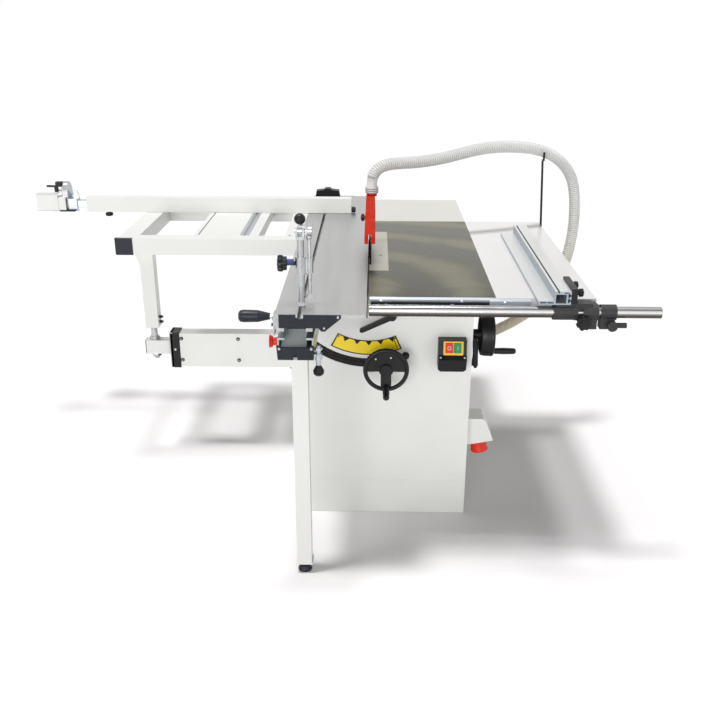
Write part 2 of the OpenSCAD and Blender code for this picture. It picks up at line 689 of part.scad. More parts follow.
// Rod on the rip table's right edge; its hook carries the hose
rod_r = 4;
rod_x = rip_x1 + rod_r + 2;
rod_y = 462;
hook_z = 1112;
module hose_rod() color("black") {
    hull() {
        bar_z(rod_r, rod_x, rod_y, table_h - 36, table_h - 20, $fn = HULL_FN);
        bar_z(rod_r, rod_x - 15, rod_y - 5, hook_z - 6, hook_z, $fn = HULL_FN);
    }
    hull() {
        bar_z(rod_r, rod_x - 15, rod_y - 5, hook_z - 6, hook_z, $fn = HULL_FN);
        translate([rod_x - 17, 423, hook_z + 3]) sphere(r = rod_r, $fn = HULL_FN);
    }
    hull() {
        translate([rod_x - 17, 423, hook_z + 3]) sphere(r = rod_r, $fn = HULL_FN);
        translate([rod_x - 18, 419, hook_z + 30]) sphere(r = rod_r, $fn = HULL_FN);
    }
    block(rip_x1, rod_x + rod_r, rod_y - 9, rod_y + 9, table_h - 38, table_h - 12);
}

// Sweep of the hose: smooth curve through the route, ribs by formula
function lerp(a, b, t) = a + (b - a) * t;
function catmull(p, i, t) = let (
    n = len(p), a = p[max(i - 1, 0)], b = p[i], c = p[min(i + 1, n - 1)], d = p[min(i + 2, n - 1)])
    0.5 * (2 * b + (c - a) * t + (2 * a - 5 * b + 4 * c - d) * t * t + (3 * b - a - 3 * c + d) * t * t * t);
function lengths(p, i = 0, sum = 0) = i == len(p) - 1 ? [sum]
    : concat([sum], lengths(p, i + 1, sum + norm(p[i + 1] - p[i])));
hose_n = len(HOSE_ROUTE) - 1;
hose_route = [for (i = [0 : hose_n]) HOSE_ROUTE[i] + [0, 0, (spigot_z - HOSE_ROUTE[0][2]) * (1 - i / hose_n)]];
hose_fine = concat([for (i = [0 : len(hose_route) - 2], j = [0 : 3]) catmull(hose_route, i, j / 4)],
    [hose_end]);
hose_sum = lengths(hose_fine);
hose_length = hose_sum[len(hose_sum) - 1];
function seek(s, i = 0) = i >= len(hose_sum) - 2 || hose_sum[i + 1] >= s ? i : seek(s, i + 1);
function hose_at(s) = let (i = seek(s)) lerp(hose_fine[i], hose_fine[i + 1],
    (s - hose_sum[i]) / (hose_sum[i + 1] - hose_sum[i]));
function unit(v) = v / norm(v);
function hose_dir(s) = unit(hose_at(min(s + 2, hose_length)) - hose_at(max(s - 2, 0)));
HOSE_SIDES = 8;
// The ring's first axis stays level with Y, which the hose never follows
function hose_ring(s, r) = let (c = hose_at(s), d = hose_dir(s), u = unit(cross([0, 1, 0], d)), v = cross(d, u))
    [for (k = [0 : HOSE_SIDES - 1]) c + r * (cos(360 * k / HOSE_SIDES) * u + sin(360 * k / HOSE_SIDES) * v)];
cuff = hose_d;
rib_step = (hose_length - 2 * cuff) / hose_ribs;
valley_r = hose_d / 2 - 2.6;
outer_s = concat([0, cuff], [for (i = [0 : hose_ribs - 1]) each [cuff + (i + 0.5) * rib_step, cuff + (i + 1) * rib_step]],
    [hose_length]);
outer_r = concat([valley_r, valley_r], [for (i = [0 : hose_ribs - 1]) each [hose_d / 2, valley_r]], [valley_r]);
inner_s = concat([0, cuff], [for (i = [1 : hose_ribs]) cuff + i * rib_step], [hose_length]);
hose_points = concat([for (i = [0 : len(outer_s) - 1]) each hose_ring(outer_s[i], outer_r[i])],
    [for (s = inner_s) each hose_ring(s, hose_bore / 2)]);
function quad(a, b, c, d) = [[a, b, c], [a, c, d]];
function tube_faces(first, rings, flip) = [for (i = [0 : rings - 2], k = [0 : HOSE_SIDES - 1])
    let (a = first + i * HOSE_SIDES + k, b = first + i * HOSE_SIDES + (k + 1) % HOSE_SIDES)
    each flip ? quad(a, b, b + HOSE_SIDES, a + HOSE_SIDES) : quad(a, a + HOSE_SIDES, b + HOSE_SIDES, b)];
function end_faces(a0, b0, flip) = [for (k = [0 : HOSE_SIDES - 1])
    let (k1 = (k + 1) % HOSE_SIDES) each flip ? quad(a0 + k, b0 + k, b0 + k1, a0 + k1)
        : quad(a0 + k, a0 + k1, b0 + k1, b0 + k)];
inner_first = len(outer_s) * HOSE_SIDES;
module suction_hose() color("lightyellow") polyhedron(hose_points, concat(
    tube_faces(0, len(outer_s), false), tube_faces(inner_first, len(inner_s), true),
    end_faces(0, inner_first, false),
    end_faces(inner_first - HOSE_SIDES, inner_first + (len(inner_s) - 1) * HOSE_SIDES, true)));
echo(hose_length = hose_length, rib_step = rib_step, rib_gap = rib_step / 2);

// Two rows of balls in a cage that travels at half the table's speed
cage_y0 = slide_y0 + slide_l / 2 - cage_l / 2;
ball_z = rail_top + slip + ball_d / 2;
module ball_cage() color("silver") {
    for (x = row_x) for (i = [0 : ball_n - 1])
        translate([x, cage_y0 + 30 + i * (cage_l - 60) / (ball_n - 1), ball_z]) sphere(d = ball_d);
    for (x = row_x) block(x - 6, x + 6, cage_y0, cage_y0 + cage_l, ball_z - 2, ball_z + 2);
    for (y = [cage_y0, cage_y0 + cage_l - 20]) block(row_x[0], row_x[1], y, y + 20, ball_z - 2, ball_z + 2);
}

// Sliding table: top plate, hollow box on the left, sloping web, feet over the ball rows
box_z0 = table_h - slide_h;
web_x = slide_x0 + 135;
module sliding_table() color("lightgray") difference() {
    union() {
        along_y([[slide_x0, table_h], [slide_x0, box_z0], [web_x, box_z0], [web_x + 34, table_h - slide_t],
            [slide_x1 - slide_t + 1, table_h - slide_t], [slide_x1, table_h - 3], [slide_x1, table_h]],
            slide_y0 + cap_t, slide_y1 - cap_t);
        for (x = row_x) block(x - 9, x + 9, slide_y0 + cap_t, slide_y1 - cap_t, foot_z, box_z0 + 1);
        block(slide_x0, slide_x0 + 6, slide_y0 + cap_t, slide_y1 - cap_t, box_z0 - 6, box_z0 + 5);
    }
    // Hollows of the box
    for (span = [[slide_x0 + slide_wall, tslot_x - 16], [tslot_x + 16, web_x - 2]])
        block(span[0], span[1], slide_y0, slide_y1, box_z0 + slide_wall, table_h - slide_t);
    // T-slot
    block(tslot_x - tslot_w / 2, tslot_x + tslot_w / 2, slide_y0, slide_y1, table_h - 16, table_h + END);
    block(tslot_x - tslot_in / 2, tslot_x + tslot_in / 2, slide_y0, slide_y1, table_h - 20, table_h - 10);
}

cap_x1 = web_x + 45;
corner_r = 9;
module carriage_caps() color("darkslategray") {
    // End caps of the sliding table
    for (end = [0, 1]) {
        y0 = end == 0 ? slide_y0 : slide_y1 - cap_t;
        difference() {
            along_y([[slide_x0 + 12, table_h], [slide_x0 + 12, box_z0], [web_x - 12, box_z0],
                [web_x - 4, box_z0 - 9], [web_x + 6, box_z0 - 9], [cap_x1 + 6, table_h - 10], [cap_x1 + 6, table_h]],
                y0, y0 + cap_t);
            block(tslot_x - tslot_in / 2, tslot_x + tslot_in / 2, y0 - END, y0 + cap_t + END,
                table_h - 12, table_h + END);
        }
    }
    // Corner caps of the outrigger frame
    for (y = [frame_y, frame_y + frame_d]) {
        s = y == frame_y ? 1 : -1;
        difference() {
            union() {
                block(frame_x0 - 3, frame_x0 + 56, min(y - s * 1.5, y + s * 14), max(y - s * 1.5, y + s * 14),
                    table_h - frame_h - 1.5, table_h + 0.6);
                bar_z(corner_r, frame_x0 - 3, y + s * corner_r, table_h - frame_h - 1.5, table_h + 0.6);
            }
            block(frame_x0, frame_x0 + 57, min(y, y + s * 20), max(y, y + s * 20), table_h - frame_h, table_h);
        }
    }
    push_grip();
    // Clamp screws of the post
    for (z = [post_z0 + 18, post_z0 + 38]) {
        bar_x(6, pin_x + post_w / 2, pin_x + post_w / 2 + 9, arm_y, z);
        bar_x(4, pin_x + post_w / 2 + 9, pin_x + post_w / 2 + 14, arm_y, z);
    }
}

// Bright fittings on the sliding table: clamp column, cap screws and the grip's bracket
column_x = tslot_x;
column_y = slide_y0 + column_in;
head_z = table_h + column_h;
module carriage_fittings() color("silver") {
    // Column with its foot and its T-nut in the slot
    difference() {
        union() {
            bar_z(column_d / 2, column_x, column_y, table_h, head_z);
            translate([column_x, column_y, table_h]) cylinder(r1 = column_d / 2 + 5, r2 = column_d / 2, h = 9);
            block(column_x - 12, column_x + 12, column_y - 11, column_y + 11, head_z - 22, head_z + 8);
        }
        bar_x(6 + fit, column_x - 20, column_x + 20, column_y, head_z + 1);
        block(column_x - 7, column_x + 7, column_y - 20, column_y + 20, head_z - 13, head_z + 20);
    }
    block(column_x - tslot_w / 2 + slip, column_x + tslot_w / 2 - slip, column_y - 15, column_y + 15,
        table_h - 10, table_h);
    block(column_x - tslot_in / 2 + slip, column_x + tslot_in / 2 - slip, column_y - 15, column_y + 15,
        table_h - 20 + slip, table_h - 10);
    // Screws of the front cap
    head_y(4.5, cap_x1 - 2, slide_y0, table_h - 6);
    head_y(4.5, web_x + 4, slide_y0, box_z0 + 1);
    // Bracket of the push grip, on the left edge
    along_y([[slide_x0 - 4, table_h - 2], [slide_x0, table_h - 2], [slide_x0, table_h - 62],
        [slide_x0 - 4, table_h - 62]], slide_y0, slide_y0 + 46);
    block(slide_x0 - 4, slide_x0 + 12, slide_y0, slide_y0 + 5 - slip, box_z0 + 4, table_h - 6);
    bar_x(6, slide_x0 - 14, slide_x0, slide_y0 + 24, table_h - 12);
}

module push_grip() translate([slide_x0 - 14, slide_y0 + 24, table_h - 12]) rotate([0, -90, 0])
    rotate_extrude() polygon([[0, 0], [9, 0], [10, 4], [17, 34], [18, 74], [16, 84], [11, 88], [0, 88]]);

// Outrigger frame of welded tubes with a centre deck and the post under its front corner
frame_x0 = slide_x0 - frame_w;
frame_y1 = frame_y + frame_d;
left_w = 70;
deck_x0 = slide_x0 - 403;
deck_x1 = slide_x0 - 157;
right_w = 58;
track_x = slide_x0 - 211;
module outrigger_frame() color("whitesmoke") {
    z0 = table_h - frame_h;
    difference() {
        union() {
            block(frame_x0, slide_x0, frame_y, frame_y + 60, z0, table_h);
            block(frame_x0, slide_x0, frame_y1 - 60, frame_y1, z0, table_h);
            block(frame_x0, frame_x0 + left_w, frame_y + 1, frame_y1 - 1, z0, table_h);
            block(slide_x0 - right_w, slide_x0, frame_y + 1, frame_y1 - 1, z0, table_h);
            block(deck_x0, deck_x1, frame_y + 1, frame_y1 - 1, table_h - 40, table_h);
        }
        // Hollow of each tube and the open underside of the deck
        block(frame_x0 + frame_wall, slide_x0 - frame_wall, frame_y + frame_wall, frame_y + 60 - frame_wall,
            z0 + frame_wall, table_h - frame_wall);
        block(frame_x0 + frame_wall, slide_x0 - frame_wall, frame_y1 - 60 + frame_wall, frame_y1 - frame_wall,
            z0 + frame_wall, table_h - frame_wall);
        block(frame_x0 + frame_wall, frame_x0 + left_w - frame_wall, frame_y + 63, frame_y1 - 63,
            z0 + frame_wall, table_h - frame_wall);
        block(slide_x0 - right_w + frame_wall, slide_x0 - frame_wall, frame_y + 63, frame_y1 - 63,
            z0 + frame_wall, table_h - frame_wall);
        block(deck_x0 + frame_wall, deck_x1 - frame_wall, frame_y + 60, frame_y1 - 60,
            table_h - 41, table_h - 20);
        // Narrow slot, T-track and the small hole of the fence's stop
        block(deck_x0 + 16, deck_x0 + 20, frame_y + 66, frame_y1 - 66, table_h - 21, table_h + END);
        block(track_x - tslot_w / 2, track_x + tslot_w / 2, frame_y + 60, frame_y1 - 60, table_h - 8, table_h + END);
        block(track_x - tslot_in / 2, track_x + tslot_in / 2, frame_y + 60, frame_y1 - 60, table_h - 16, table_h - 8);
        bar_z(4, slide_x0 - 41, frame_y + 60 + 8, table_h - 10, table_h + END);
    }
    // Post and its gusset
    difference() {
        block(pin_x - post_w / 2, pin_x + post_w / 2, arm_y - post_w / 2, arm_y + post_w / 2, post_z0, z0);
        block(pin_x - post_w / 2 + 3, pin_x + post_w / 2 - 3, arm_y - post_w / 2 + 3, arm_y + post_w / 2 - 3,
            post_z0 + 4, z0 - 4);
    }
    along_y([[pin_x - post_w / 2 - 26, z0], [pin_x - post_w / 2, z0], [pin_x - post_w / 2, z0 - 70]],
        arm_y - 2, arm_y + 2);
}

module edging_shoe() color("black") difference() {
    along_y([[slide_x0 + 10, table_h + 0.3], [slide_x0 + 122, table_h + 0.3], [slide_x0 + 116, table_h + 34],
        [slide_x0 + 84, table_h + 37], [slide_x0 + 76, table_h + 44], [slide_x0 + 56, table_h + 44],
        [slide_x0 + 48, table_h + 37], [slide_x0 + 16, table_h + 34]], slide_y1 - 62, slide_y1 - 22);
    along_x([[slide_y1 - 63, table_h + 10], [slide_y1 - 34, table_h - END], [slide_y1 - 63, table_h - END]],
        slide_x0, slide_x0 + 130);
}

// Crosscut fence: box tube on a pivot over the sliding table
fence_x1r = slide_x0 + 178;
fence_x0 = fence_x1r - fence_l;
fence_z = table_h + 1;
fence_pivot = [tslot_x, fence_y + fence_d / 2];
ext_y0 = fence_y + (fence_d - ext_d) / 2;
ext_z0 = fence_z + 8;
module fence_tube() color("whitesmoke") {
    tube_along_x(fence_x0, fence_x1r, fence_y, fence_y + fence_d, fence_z, fence_z + fence_h, 2.5);
    block(fence_x1r, fence_x1r + 2, fence_y, fence_y + fence_d, fence_z, fence_z + fence_h);
    // Sleeve in which the extension slides
    difference() {
        block(fence_x0, fence_x0 + 30, fence_y + 2, fence_y + fence_d - 2, fence_z + 2, fence_z + fence_h - 2);
        block(fence_x0 - END, fence_x0 + 31, ext_y0 - slip, ext_y0 + ext_d + slip, ext_z0 - slip,
            ext_z0 + ext_h + slip);
    }
    // Pivot stud in the T-slot
    bar_z(tslot_w / 2 - 0.4, fence_pivot[0], fence_pivot[1], table_h - 9, fence_z);
}
module fence_end_knob() color("black") translate([fence_x1r + 2 + slip, fence_y + 18, fence_z + 12.6])
    rotate([0, 90, 0]) lobed_knob(12, 16, 5);
module fence_lock_knob() color("black") translate([fence_x0 + 86, fence_y + 18, fence_z - slip])
    rotate([180, 0, 0]) {
        cylinder(r = 6, h = 6);
        translate([0, 0, 6]) lobed_knob(15, 12, 6);
    }
ext_x0 = fence_x0 - ext_show;
stop_x = fence_x0 - 48;
ext_x1 = fence_x0 + 0.29 * fence_l;
module fence_extension() color("silver") {
    difference() {
        block(ext_x0, ext_x1, ext_y0, ext_y0 + ext_d, ext_z0, ext_z0 + ext_h);
        block(ext_x0 - END, ext_x1 + END, ext_y0 + 2, ext_y0 + ext_d - 2, ext_z0 + 2, ext_z0 + ext_h - 2);
    }
    // Collar of the stop with its cast arch
    difference() {
        along_y([[stop_x - 28, ext_z0 - 7], [stop_x + 8, ext_z0 - 7], [stop_x + 8, ext_z0 + ext_h + 8],
            [stop_x, ext_z0 + ext_h + 36], [stop_x - 14, ext_z0 + ext_h + 36], [stop_x - 28, ext_z0 + ext_h + 8]],
            ext_y0 - 7, ext_y0 + ext_d + 7);
        block(stop_x - 40, stop_x + 20, ext_y0, ext_y0 + ext_d, ext_z0, ext_z0 + ext_h);
        block(stop_x - 30, stop_x + 10, ext_y0 - 8, ext_y0 + ext_d - 5, ext_z0 + ext_h + 9, ext_z0 + ext_h + 40);
    }
    bar_x(5, stop_x - 60, stop_x - 14, ext_y0 + ext_d + 1, ext_z0 + ext_h + 20);
}
stop_axis_y = ext_y0 + ext_d + 1;
stop_axis_z = ext_z0 + ext_h + 20;
module flip_stop() color("whitesmoke") difference() {
    union() {
        // Plate that hangs in front of the fence line
        block(stop_x - 92, stop_x - 34, ext_y0 - 22, ext_y0 - 16, fence_z + 6, fence_z + 58);
        block(stop_x - 92, stop_x - 34, ext_y0 - 22, stop_axis_y - 4, fence_z + 55, fence_z + 61);
        block(stop_x - 58, stop_x - 34, stop_axis_y - 12, stop_axis_y + 11, stop_axis_z - 11, stop_axis_z + 11);
        block(stop_x - 58, stop_x - 34, stop_axis_y - 30, stop_axis_y - 4, fence_z + 50, fence_z + 64);
        // Thumb lever and knob on top
        bar_x(4, stop_x - 84, stop_x - 40, stop_axis_y - 10, stop_axis_z + 18);
        bar_z(9, stop_x - 46, stop_axis_y - 2, stop_axis_z + 11, stop_axis_z + 30);
    }
    bar_x(5 + fit, stop_x - 59, stop_x - 33, stop_axis_y, stop_axis_z);
}

// Clamp bracket on the column: boss, side knob on the left and rod guide on the right
bracket_z = table_h + 92;
guide_x = column_x + column_d / 2 + 15;
module clamp_bracket() color("silver") {
    difference() {
        union() {
            bar_z(column_d / 2 + 6, column_x, column_y, bracket_z, bracket_z + 50);
            block(column_x, guide_x, column_y - 8, column_y + 8, bracket_z + 4, bracket_z + 46);
            bar_z(10, guide_x, column_y, bracket_z + 4, bracket_z + 46);
        }
        bar_z(column_d / 2 + fit, column_x, column_y, bracket_z - END, bracket_z + 51);
        bar_z(5 + fit, guide_x, column_y, bracket_z, bracket_z + 50);
    }
}
clamp_knob_x = column_x - column_d / 2 - 6 - slip;
module clamp_knob() color("black") {
    bar_x(6, clamp_knob_x - 24, clamp_knob_x, column_y, bracket_z + 30);
    translate([clamp_knob_x - 24, column_y, bracket_z + 30]) rotate([0, -90, 0]) lobed_knob(20, 12, 6);
}
rod_top = head_z - 12.5;
module clamp_rod() color("silver") {
    bar_z(5, guide_x, column_y, table_h + 34, rod_top);
    translate([guide_x, column_y, table_h + 22]) cylinder(r1 = 15, r2 = 8, h = 12);
    bar_z(8, guide_x, column_y, rod_top - 5, rod_top);
}
// Cam lever in the column's fork, its ball up
module clamp_lever() color("black") {
    bar_x(6, column_x - 16, guide_x - 3, column_y, head_z + 1);
    bar_x(13, column_x - 6, column_x + 6, column_y, head_z + 1);
    hull() {
        bar_x(13, guide_x - 3, guide_x + 8, column_y, head_z + 1, $fn = HULL_FN);
        bar_x(6, guide_x - 3, guide_x + 8, column_y + 9, head_z + 1, $fn = HULL_FN);
    }
    bar_z(4, column_x, column_y, head_z + 10, head_z + 26);
    translate([column_x, column_y, head_z + 34]) sphere(d = knob_ball);
}

// Swing arm: outer tube, pads round the inner arm, end cap
pad_x = [pin_x + 330, pin_x + 110];
module arm_outer() color("whitesmoke") {
    x0 = arm_x - arm_l;
    difference() {
        union() {
            tube_along_x(x0, arm_x - 12, arm_y - arm_w / 2, arm_y + arm_w / 2, arm_z0, arm_z1, 3);
            bar_z(arm_w / 2 - 3, arm_x, arm_y, arm_z0, arm_z1);
            // End cap with a window for the inner arm
            difference() {
                block(x0 - 9, x0, arm_y - arm_w / 2 - 3, arm_y + arm_w / 2 + 3, arm_z0 - 4, arm_z1 + 4);
                block(x0 - 10, x0 + END, arm_y - inner_w / 2 - slip, arm_y + inner_w / 2 + slip,
                    inner_z0 - slip, inner_z0 + inner_h + slip);
            }
            for (x = pad_x) {
                block(x - 14, x + 14, arm_y - arm_w / 2, arm_y + arm_w / 2, inner_z0 + inner_h + slip, arm_z1);
                block(x - 14, x + 14, arm_y - arm_w / 2, arm_y + arm_w / 2, arm_z0, inner_z0 - slip);
            }
        }
        bar_z(pivot_d / 2 + fit, arm_x, arm_y, arm_z0 - END, arm_z1 + END);
    }
    for (x = pad_x, z = [arm_z0 + 28, arm_z1 - 20])
        translate([x, arm_y - arm_w / 2, z]) rotate([90, 0, 0]) cylinder(r = 5.5, h = 4);
}
module arm_inner() color("whitesmoke") {
    difference() {
        block(pin_x - 32, arm_x - 32, arm_y - inner_w / 2, arm_y + inner_w / 2, inner_z0, inner_z0 + inner_h);
        block(pin_x - 26, arm_x - 31, arm_y - inner_w / 2 + 3, arm_y + inner_w / 2 - 3, inner_z0 + 3,
            inner_z0 + inner_h - 3);
    }
    // Threaded pin with its nuts, just under the post
    bar_z(12, pin_x, arm_y, inner_z0 + inner_h, post_z0 - 0.5);
    hex_z(34, pin_x, arm_y, inner_z0 + inner_h, inner_z0 + inner_h + 12);
    hex_z(30, pin_x + 2, arm_y, inner_z0 - 14, inner_z0);
    bar_z(9, pin_x + 2, arm_y, inner_z0 - 24, inner_z0 - 14);
}

// Trunnion frame: two hanging plates, curved tongues, a beam and the worm shaft's bearings
// Plate corners from the tilt axis, in X and Z
FRONT_PLATE = [[-40, -72], [160, -28], [180, -28], [180, -72], [104, -160], [82, -300], [32, -304],
    [14, -160], [-40, -148]];
REAR_PLATE = [[-40, -72], [160, -28], [180, -28], [180, -136], [-40, -136]];
function at_axis(points) = [for (p = points) [blade_x + p[0], table_h + p[1]]];
module trunnion_frame() color("dimgray") difference() {
    union() {
        along_y(at_axis(FRONT_PLATE), -plate_y, -plate_y + plate_t);
        along_y(at_axis(REAR_PLATE), plate_y - plate_t, plate_y);
        for (s = [-1, 1]) intersection() {
            ring_y(tongue_r - tongue_w / 2, tongue_r + tongue_w / 2, blade_x,
                s > 0 ? plate_y - 1 : -plate_y - 10, s > 0 ? plate_y + 10 : -plate_y + 1, table_h);
            tilt_wedge(2 * tongue_r, -8, 50, s > 0 ? plate_y - 2 : -plate_y - 12, s > 0 ? plate_y + 12 : -plate_y + 2);
        }
        block(blade_x + 160, blade_x + 180, -plate_y + 1, plate_y - 1, table_h - 70, table_h - 30);
        // Front boss, rear bearing block on its hanger left of the gear sector
        bar_y(20, shaft_x, -plate_y - 20, -plate_y + plate_t, shaft_z);
        block(blade_x + 16, blade_x + 34, plate_y - plate_t, plate_y, shaft_z - 14, table_h - 130);
        block(blade_x + 16, shaft_x + 16, plate_y - plate_t - 3, plate_y, shaft_z - 15, shaft_z + 15);
        // Quadrant of the tilt gear, on the front plate
        translate([blade_x, tilt_y + 8, table_h]) rotate([90, 0, 0])
            toothed_sector(tilt_gear_r, 140, -92, -43, plate_y - plate_t + tilt_y + 9, 3.4);
        // Carrier of the riving knife
        block(blade_x + 1.1, blade_x + 14, pivot_y - 6, plate_y - 1, table_h - 120, table_h - 94);
        // Pivot shaft of the rise arm, held by two cheeks
        bar_x(12, blade_x + 12, blade_x + 178, pivot_y, pivot_z);
        block(blade_x + 12, blade_x + 22, pivot_y - 16, plate_y - 1, pivot_z - 16, pivot_z + 16);
        block(motor_x - 3, motor_x + 7, pivot_y - 16, plate_y - 1, pivot_z - 16, pivot_z + 16);
    }
    bar_y(shaft_r + fit, shaft_x, -plate_y - 30, plate_y + END, shaft_z);
}

knife_r0 = blade_d / 2 + 7;
knife_r1 = blade_d / 2 + 65;
module riving_knife() color("gray") intersection() {
    difference() {
        bar_x(knife_r1, blade_x - 1.1, blade_x + 1.1, blade_y, arbor_z);
        bar_x(knife_r0, blade_x - 2, blade_x + 2, blade_y, arbor_z);
    }
    along_x([[blade_y, arbor_z], [blade_y + 300, arbor_z - 118], [blade_y + 300, arbor_z + 200],
        [blade_y + 110, arbor_z + 200]], blade_x - 3, blade_x + 3);
}

// Hood: moulded shell, wider at its open mouth, forked nose, spigot for the hose on top
hood_y1 = blade_y + 190;
hood_y0 = hood_y1 - hood_l;
hood_z = table_h + hood_up;
hood_top = hood_z + hood_h;
spigot = HOSE_ROUTE[0];
function hood_side(inset) = [[hood_y0 + inset, hood_z - (inset > 0 ? END : 0)],
    [hood_y1 - inset, hood_z - (inset > 0 ? END : 0)],
    [hood_y1 - inset, hood_top - 8 - inset], [hood_y1 - 10 - inset, hood_top - inset],
    [hood_y1 - 90, hood_top - inset], [hood_y0 + 70, hood_z + 50 - inset],
    [hood_y0 + 14 + inset, hood_z + 22 - inset]];
module hood_body(inset) hull() {
    along_x(hood_side(inset), blade_x - hood_w / 2 + 2.5 + inset, blade_x + hood_w / 2 - 2.5 - inset);
    intersection() {
        along_x(hood_side(inset), blade_x - hood_w / 2 + inset, blade_x + hood_w / 2 - inset);
        block(-500, 500, -500, 500, hood_z - 2 * END, hood_z + 34);
    }
}
module blade_hood() color("orangered") difference() {
    union() {
        difference() {
            hood_body(0);
            hood_body(hood_wall);
        }
        bar_z(hose_bore / 2 + 3, spigot[0], spigot[1], hood_top - 3, spigot_z - 0.7);
        // Boss and knob that clamp the hood to the knife
        bar_x(8, blade_x - hood_w / 2 - 4, blade_x - 1.1 - slip, knob_y, knob_z);
        bar_x(8, blade_x + 1.1 + slip, blade_x + hood_w / 2 - 1, knob_y, knob_z);
    }
    bar_z(hose_bore / 2, spigot[0], spigot[1], hood_top - 10, spigot_z + END);
    // Fork in the nose
    block(blade_x - 5, blade_x + 5, hood_y0 - END, hood_y0 + 40, hood_z - END, hood_z + 26);
    bar_x(3, blade_x - 2, blade_x + 2, knob_y, knob_z);
}
knob_y = blade_y + 118;
knob_z = hood_z + 26;
module hood_knob() color("red") translate([blade_x - hood_w / 2 - 4 - slip, knob_y, knob_z])
    rotate([0, -90, 0]) lobed_knob(13, 10, 5);

// Rise arm: rocker with the arbor housing in front, gear sector below, motor plate on the right
module rise_arm() color("dimgray") difference() {
    union() {
        bar_x(26, blade_x + 26, motor_x - 14, pivot_y, pivot_z);
        bar_x(28, blade_x + 26, pulley_x0 - 8, blade_y, arbor_z);
        hull() {
            bar_x(26, blade_x + 64, blade_x + 90, pivot_y, pivot_z, $fn = HULL_FN);
            bar_x(26, blade_x + 64, blade_x + 90, blade_y, arbor_z, $fn = HULL_FN);
        }
        translate([shaft_x - 8, pivot_y, pivot_z]) rotate([90, 0, 90])
            toothed_sector(rise_gear_r, 20, -123, -85, 16, 3.4);
        // Motor plate
        hull() {
            bar_x(18, motor_x - 14, motor_x - 4, pivot_y, pivot_z, $fn = HULL_FN);
            bar_x(34, motor_x - 14, motor_x - 4, motor_y, motor_z, $fn = HULL_FN);
        }
    }
    bar_x(12 + fit, blade_x, blade_x + 200, pivot_y, pivot_z);
    bar_x(arbor_d / 2 + fit, blade_x, blade_x + 150, blade_y, arbor_z);
    bar_x(12, motor_x - 20, motor_x, motor_y, motor_z);
}

module saw_arbor() color("silver") {
    bar_x(arbor_d / 2, blade_x - 12, pulley_x0 + 4, blade_y, arbor_z);
    // Inner and outer flange, nut
    bar_x(22, blade_x + 1.2, blade_x + 8, blade_y, arbor_z);
    bar_x(22, blade_x - 8, blade_x - 1.2, blade_y, arbor_z);
    translate([blade_x - 19, blade_y, arbor_z]) rotate([0, 90, 0]) cylinder(r = 15, h = 11, $fn = 6);
    // Pulley
    difference() {
        bar_x(pulley_r, pulley_x0, pulley_x0 + pulley_t, blade_y, arbor_z);
        bar_x(14, pulley_x0 + pulley_t - 6, pulley_x0 + pulley_t + END, blade_y, arbor_z);
    }
}

blade_teeth = 24;
module saw_blade() color("lightgray") difference() {
    union() {
        bar_x(blade_d / 2 - 9, blade_x - 1.1, blade_x + 1.1, blade_y, arbor_z);
        for (i = [0 : blade_teeth - 1]) translate([blade_x, blade_y, arbor_z]) rotate([i * 360 / blade_teeth, 0, 0])
            along_x([[blade_d / 2 - 12, -11], [blade_d / 2 - 4, -6], [blade_d / 2, 0], [blade_d / 2 - 12, 1.5]],
                -kerf / 2, kerf / 2);
    }
    bar_x(arbor_d / 2, blade_x - 3, blade_x + 3, blade_y, arbor_z);
}

// Belt round both pulleys, straight runs and arcs
belt_span = norm([motor_y - blade_y, motor_z - arbor_z]);
module belt_loop(grow, x0, x1) hull() {
    bar_x(pulley_r + grow, x0, x1, blade_y, arbor_z, $fn = 64);
    bar_x(motor_pulley_r + grow, x0, x1, motor_y, motor_z, $fn = 64);
}
module drive_belt() color("black") difference() {
    belt_loop(5, pulley_x0 + 4, pulley_x0 + pulley_t - 4);
    belt_loop(2 * slip, pulley_x0, pulley_x0 + pulley_t);
}

module motor() color("gray") difference() {
    union() {
        bar_x(motor_d / 2, motor_x, motor_x + motor_l, motor_y, motor_z);
        bar_x(50, motor_x - 4, motor_x, motor_y, motor_z);
        block(motor_x + 40, motor_x + 110, motor_y - 40, motor_y + 40, motor_z - motor_d / 2 - 4, motor_z - 40);
    }
    bar_x(11 + fit, motor_x - 10, motor_x + 50, motor_y, motor_z);
    for (i = [0 : 11]) translate([motor_x, motor_y, motor_z]) rotate([30 * i + 15, 0, 0])
        translate([12, motor_d / 2 - 5, -3]) cube([motor_l - 40, 10, 6]);
}
module motor_pulley() color("silver") {
    bar_x(11, pulley_x0, motor_x + 45, motor_y, motor_z);
    bar_x(motor_pulley_r, pulley_x0, pulley_x0 + pulley_t, motor_y, motor_z);
}

// Height shaft along Y with its worm, and the handwheel in front of the slot
module rise_handwheel() color("black") {
    bar_y(shaft_r, shaft_x, front_wheel_y - 30, plate_y - 1, shaft_z);
    translate([shaft_x, pivot_y - 20, shaft_z]) rotate([-90, 0, 0]) worm(worm_r, 40);
    translate([shaft_x, front_wheel_y, shaft_z]) rotate([90, 0, 0]) handwheel();
    bar_y(4, shaft_x, front_wheel_y - 28 - grip_l + 12, front_wheel_y - 26, shaft_z - crank_r);
    bar_y(11, shaft_x, front_wheel_y - 40, front_wheel_y - 20, shaft_z - crank_r);
}
module rise_grip() color("black") translate([shaft_x, front_wheel_y - 40 - slip, shaft_z - crank_r])
    rotate([90, 0, 0]) crank_grip();
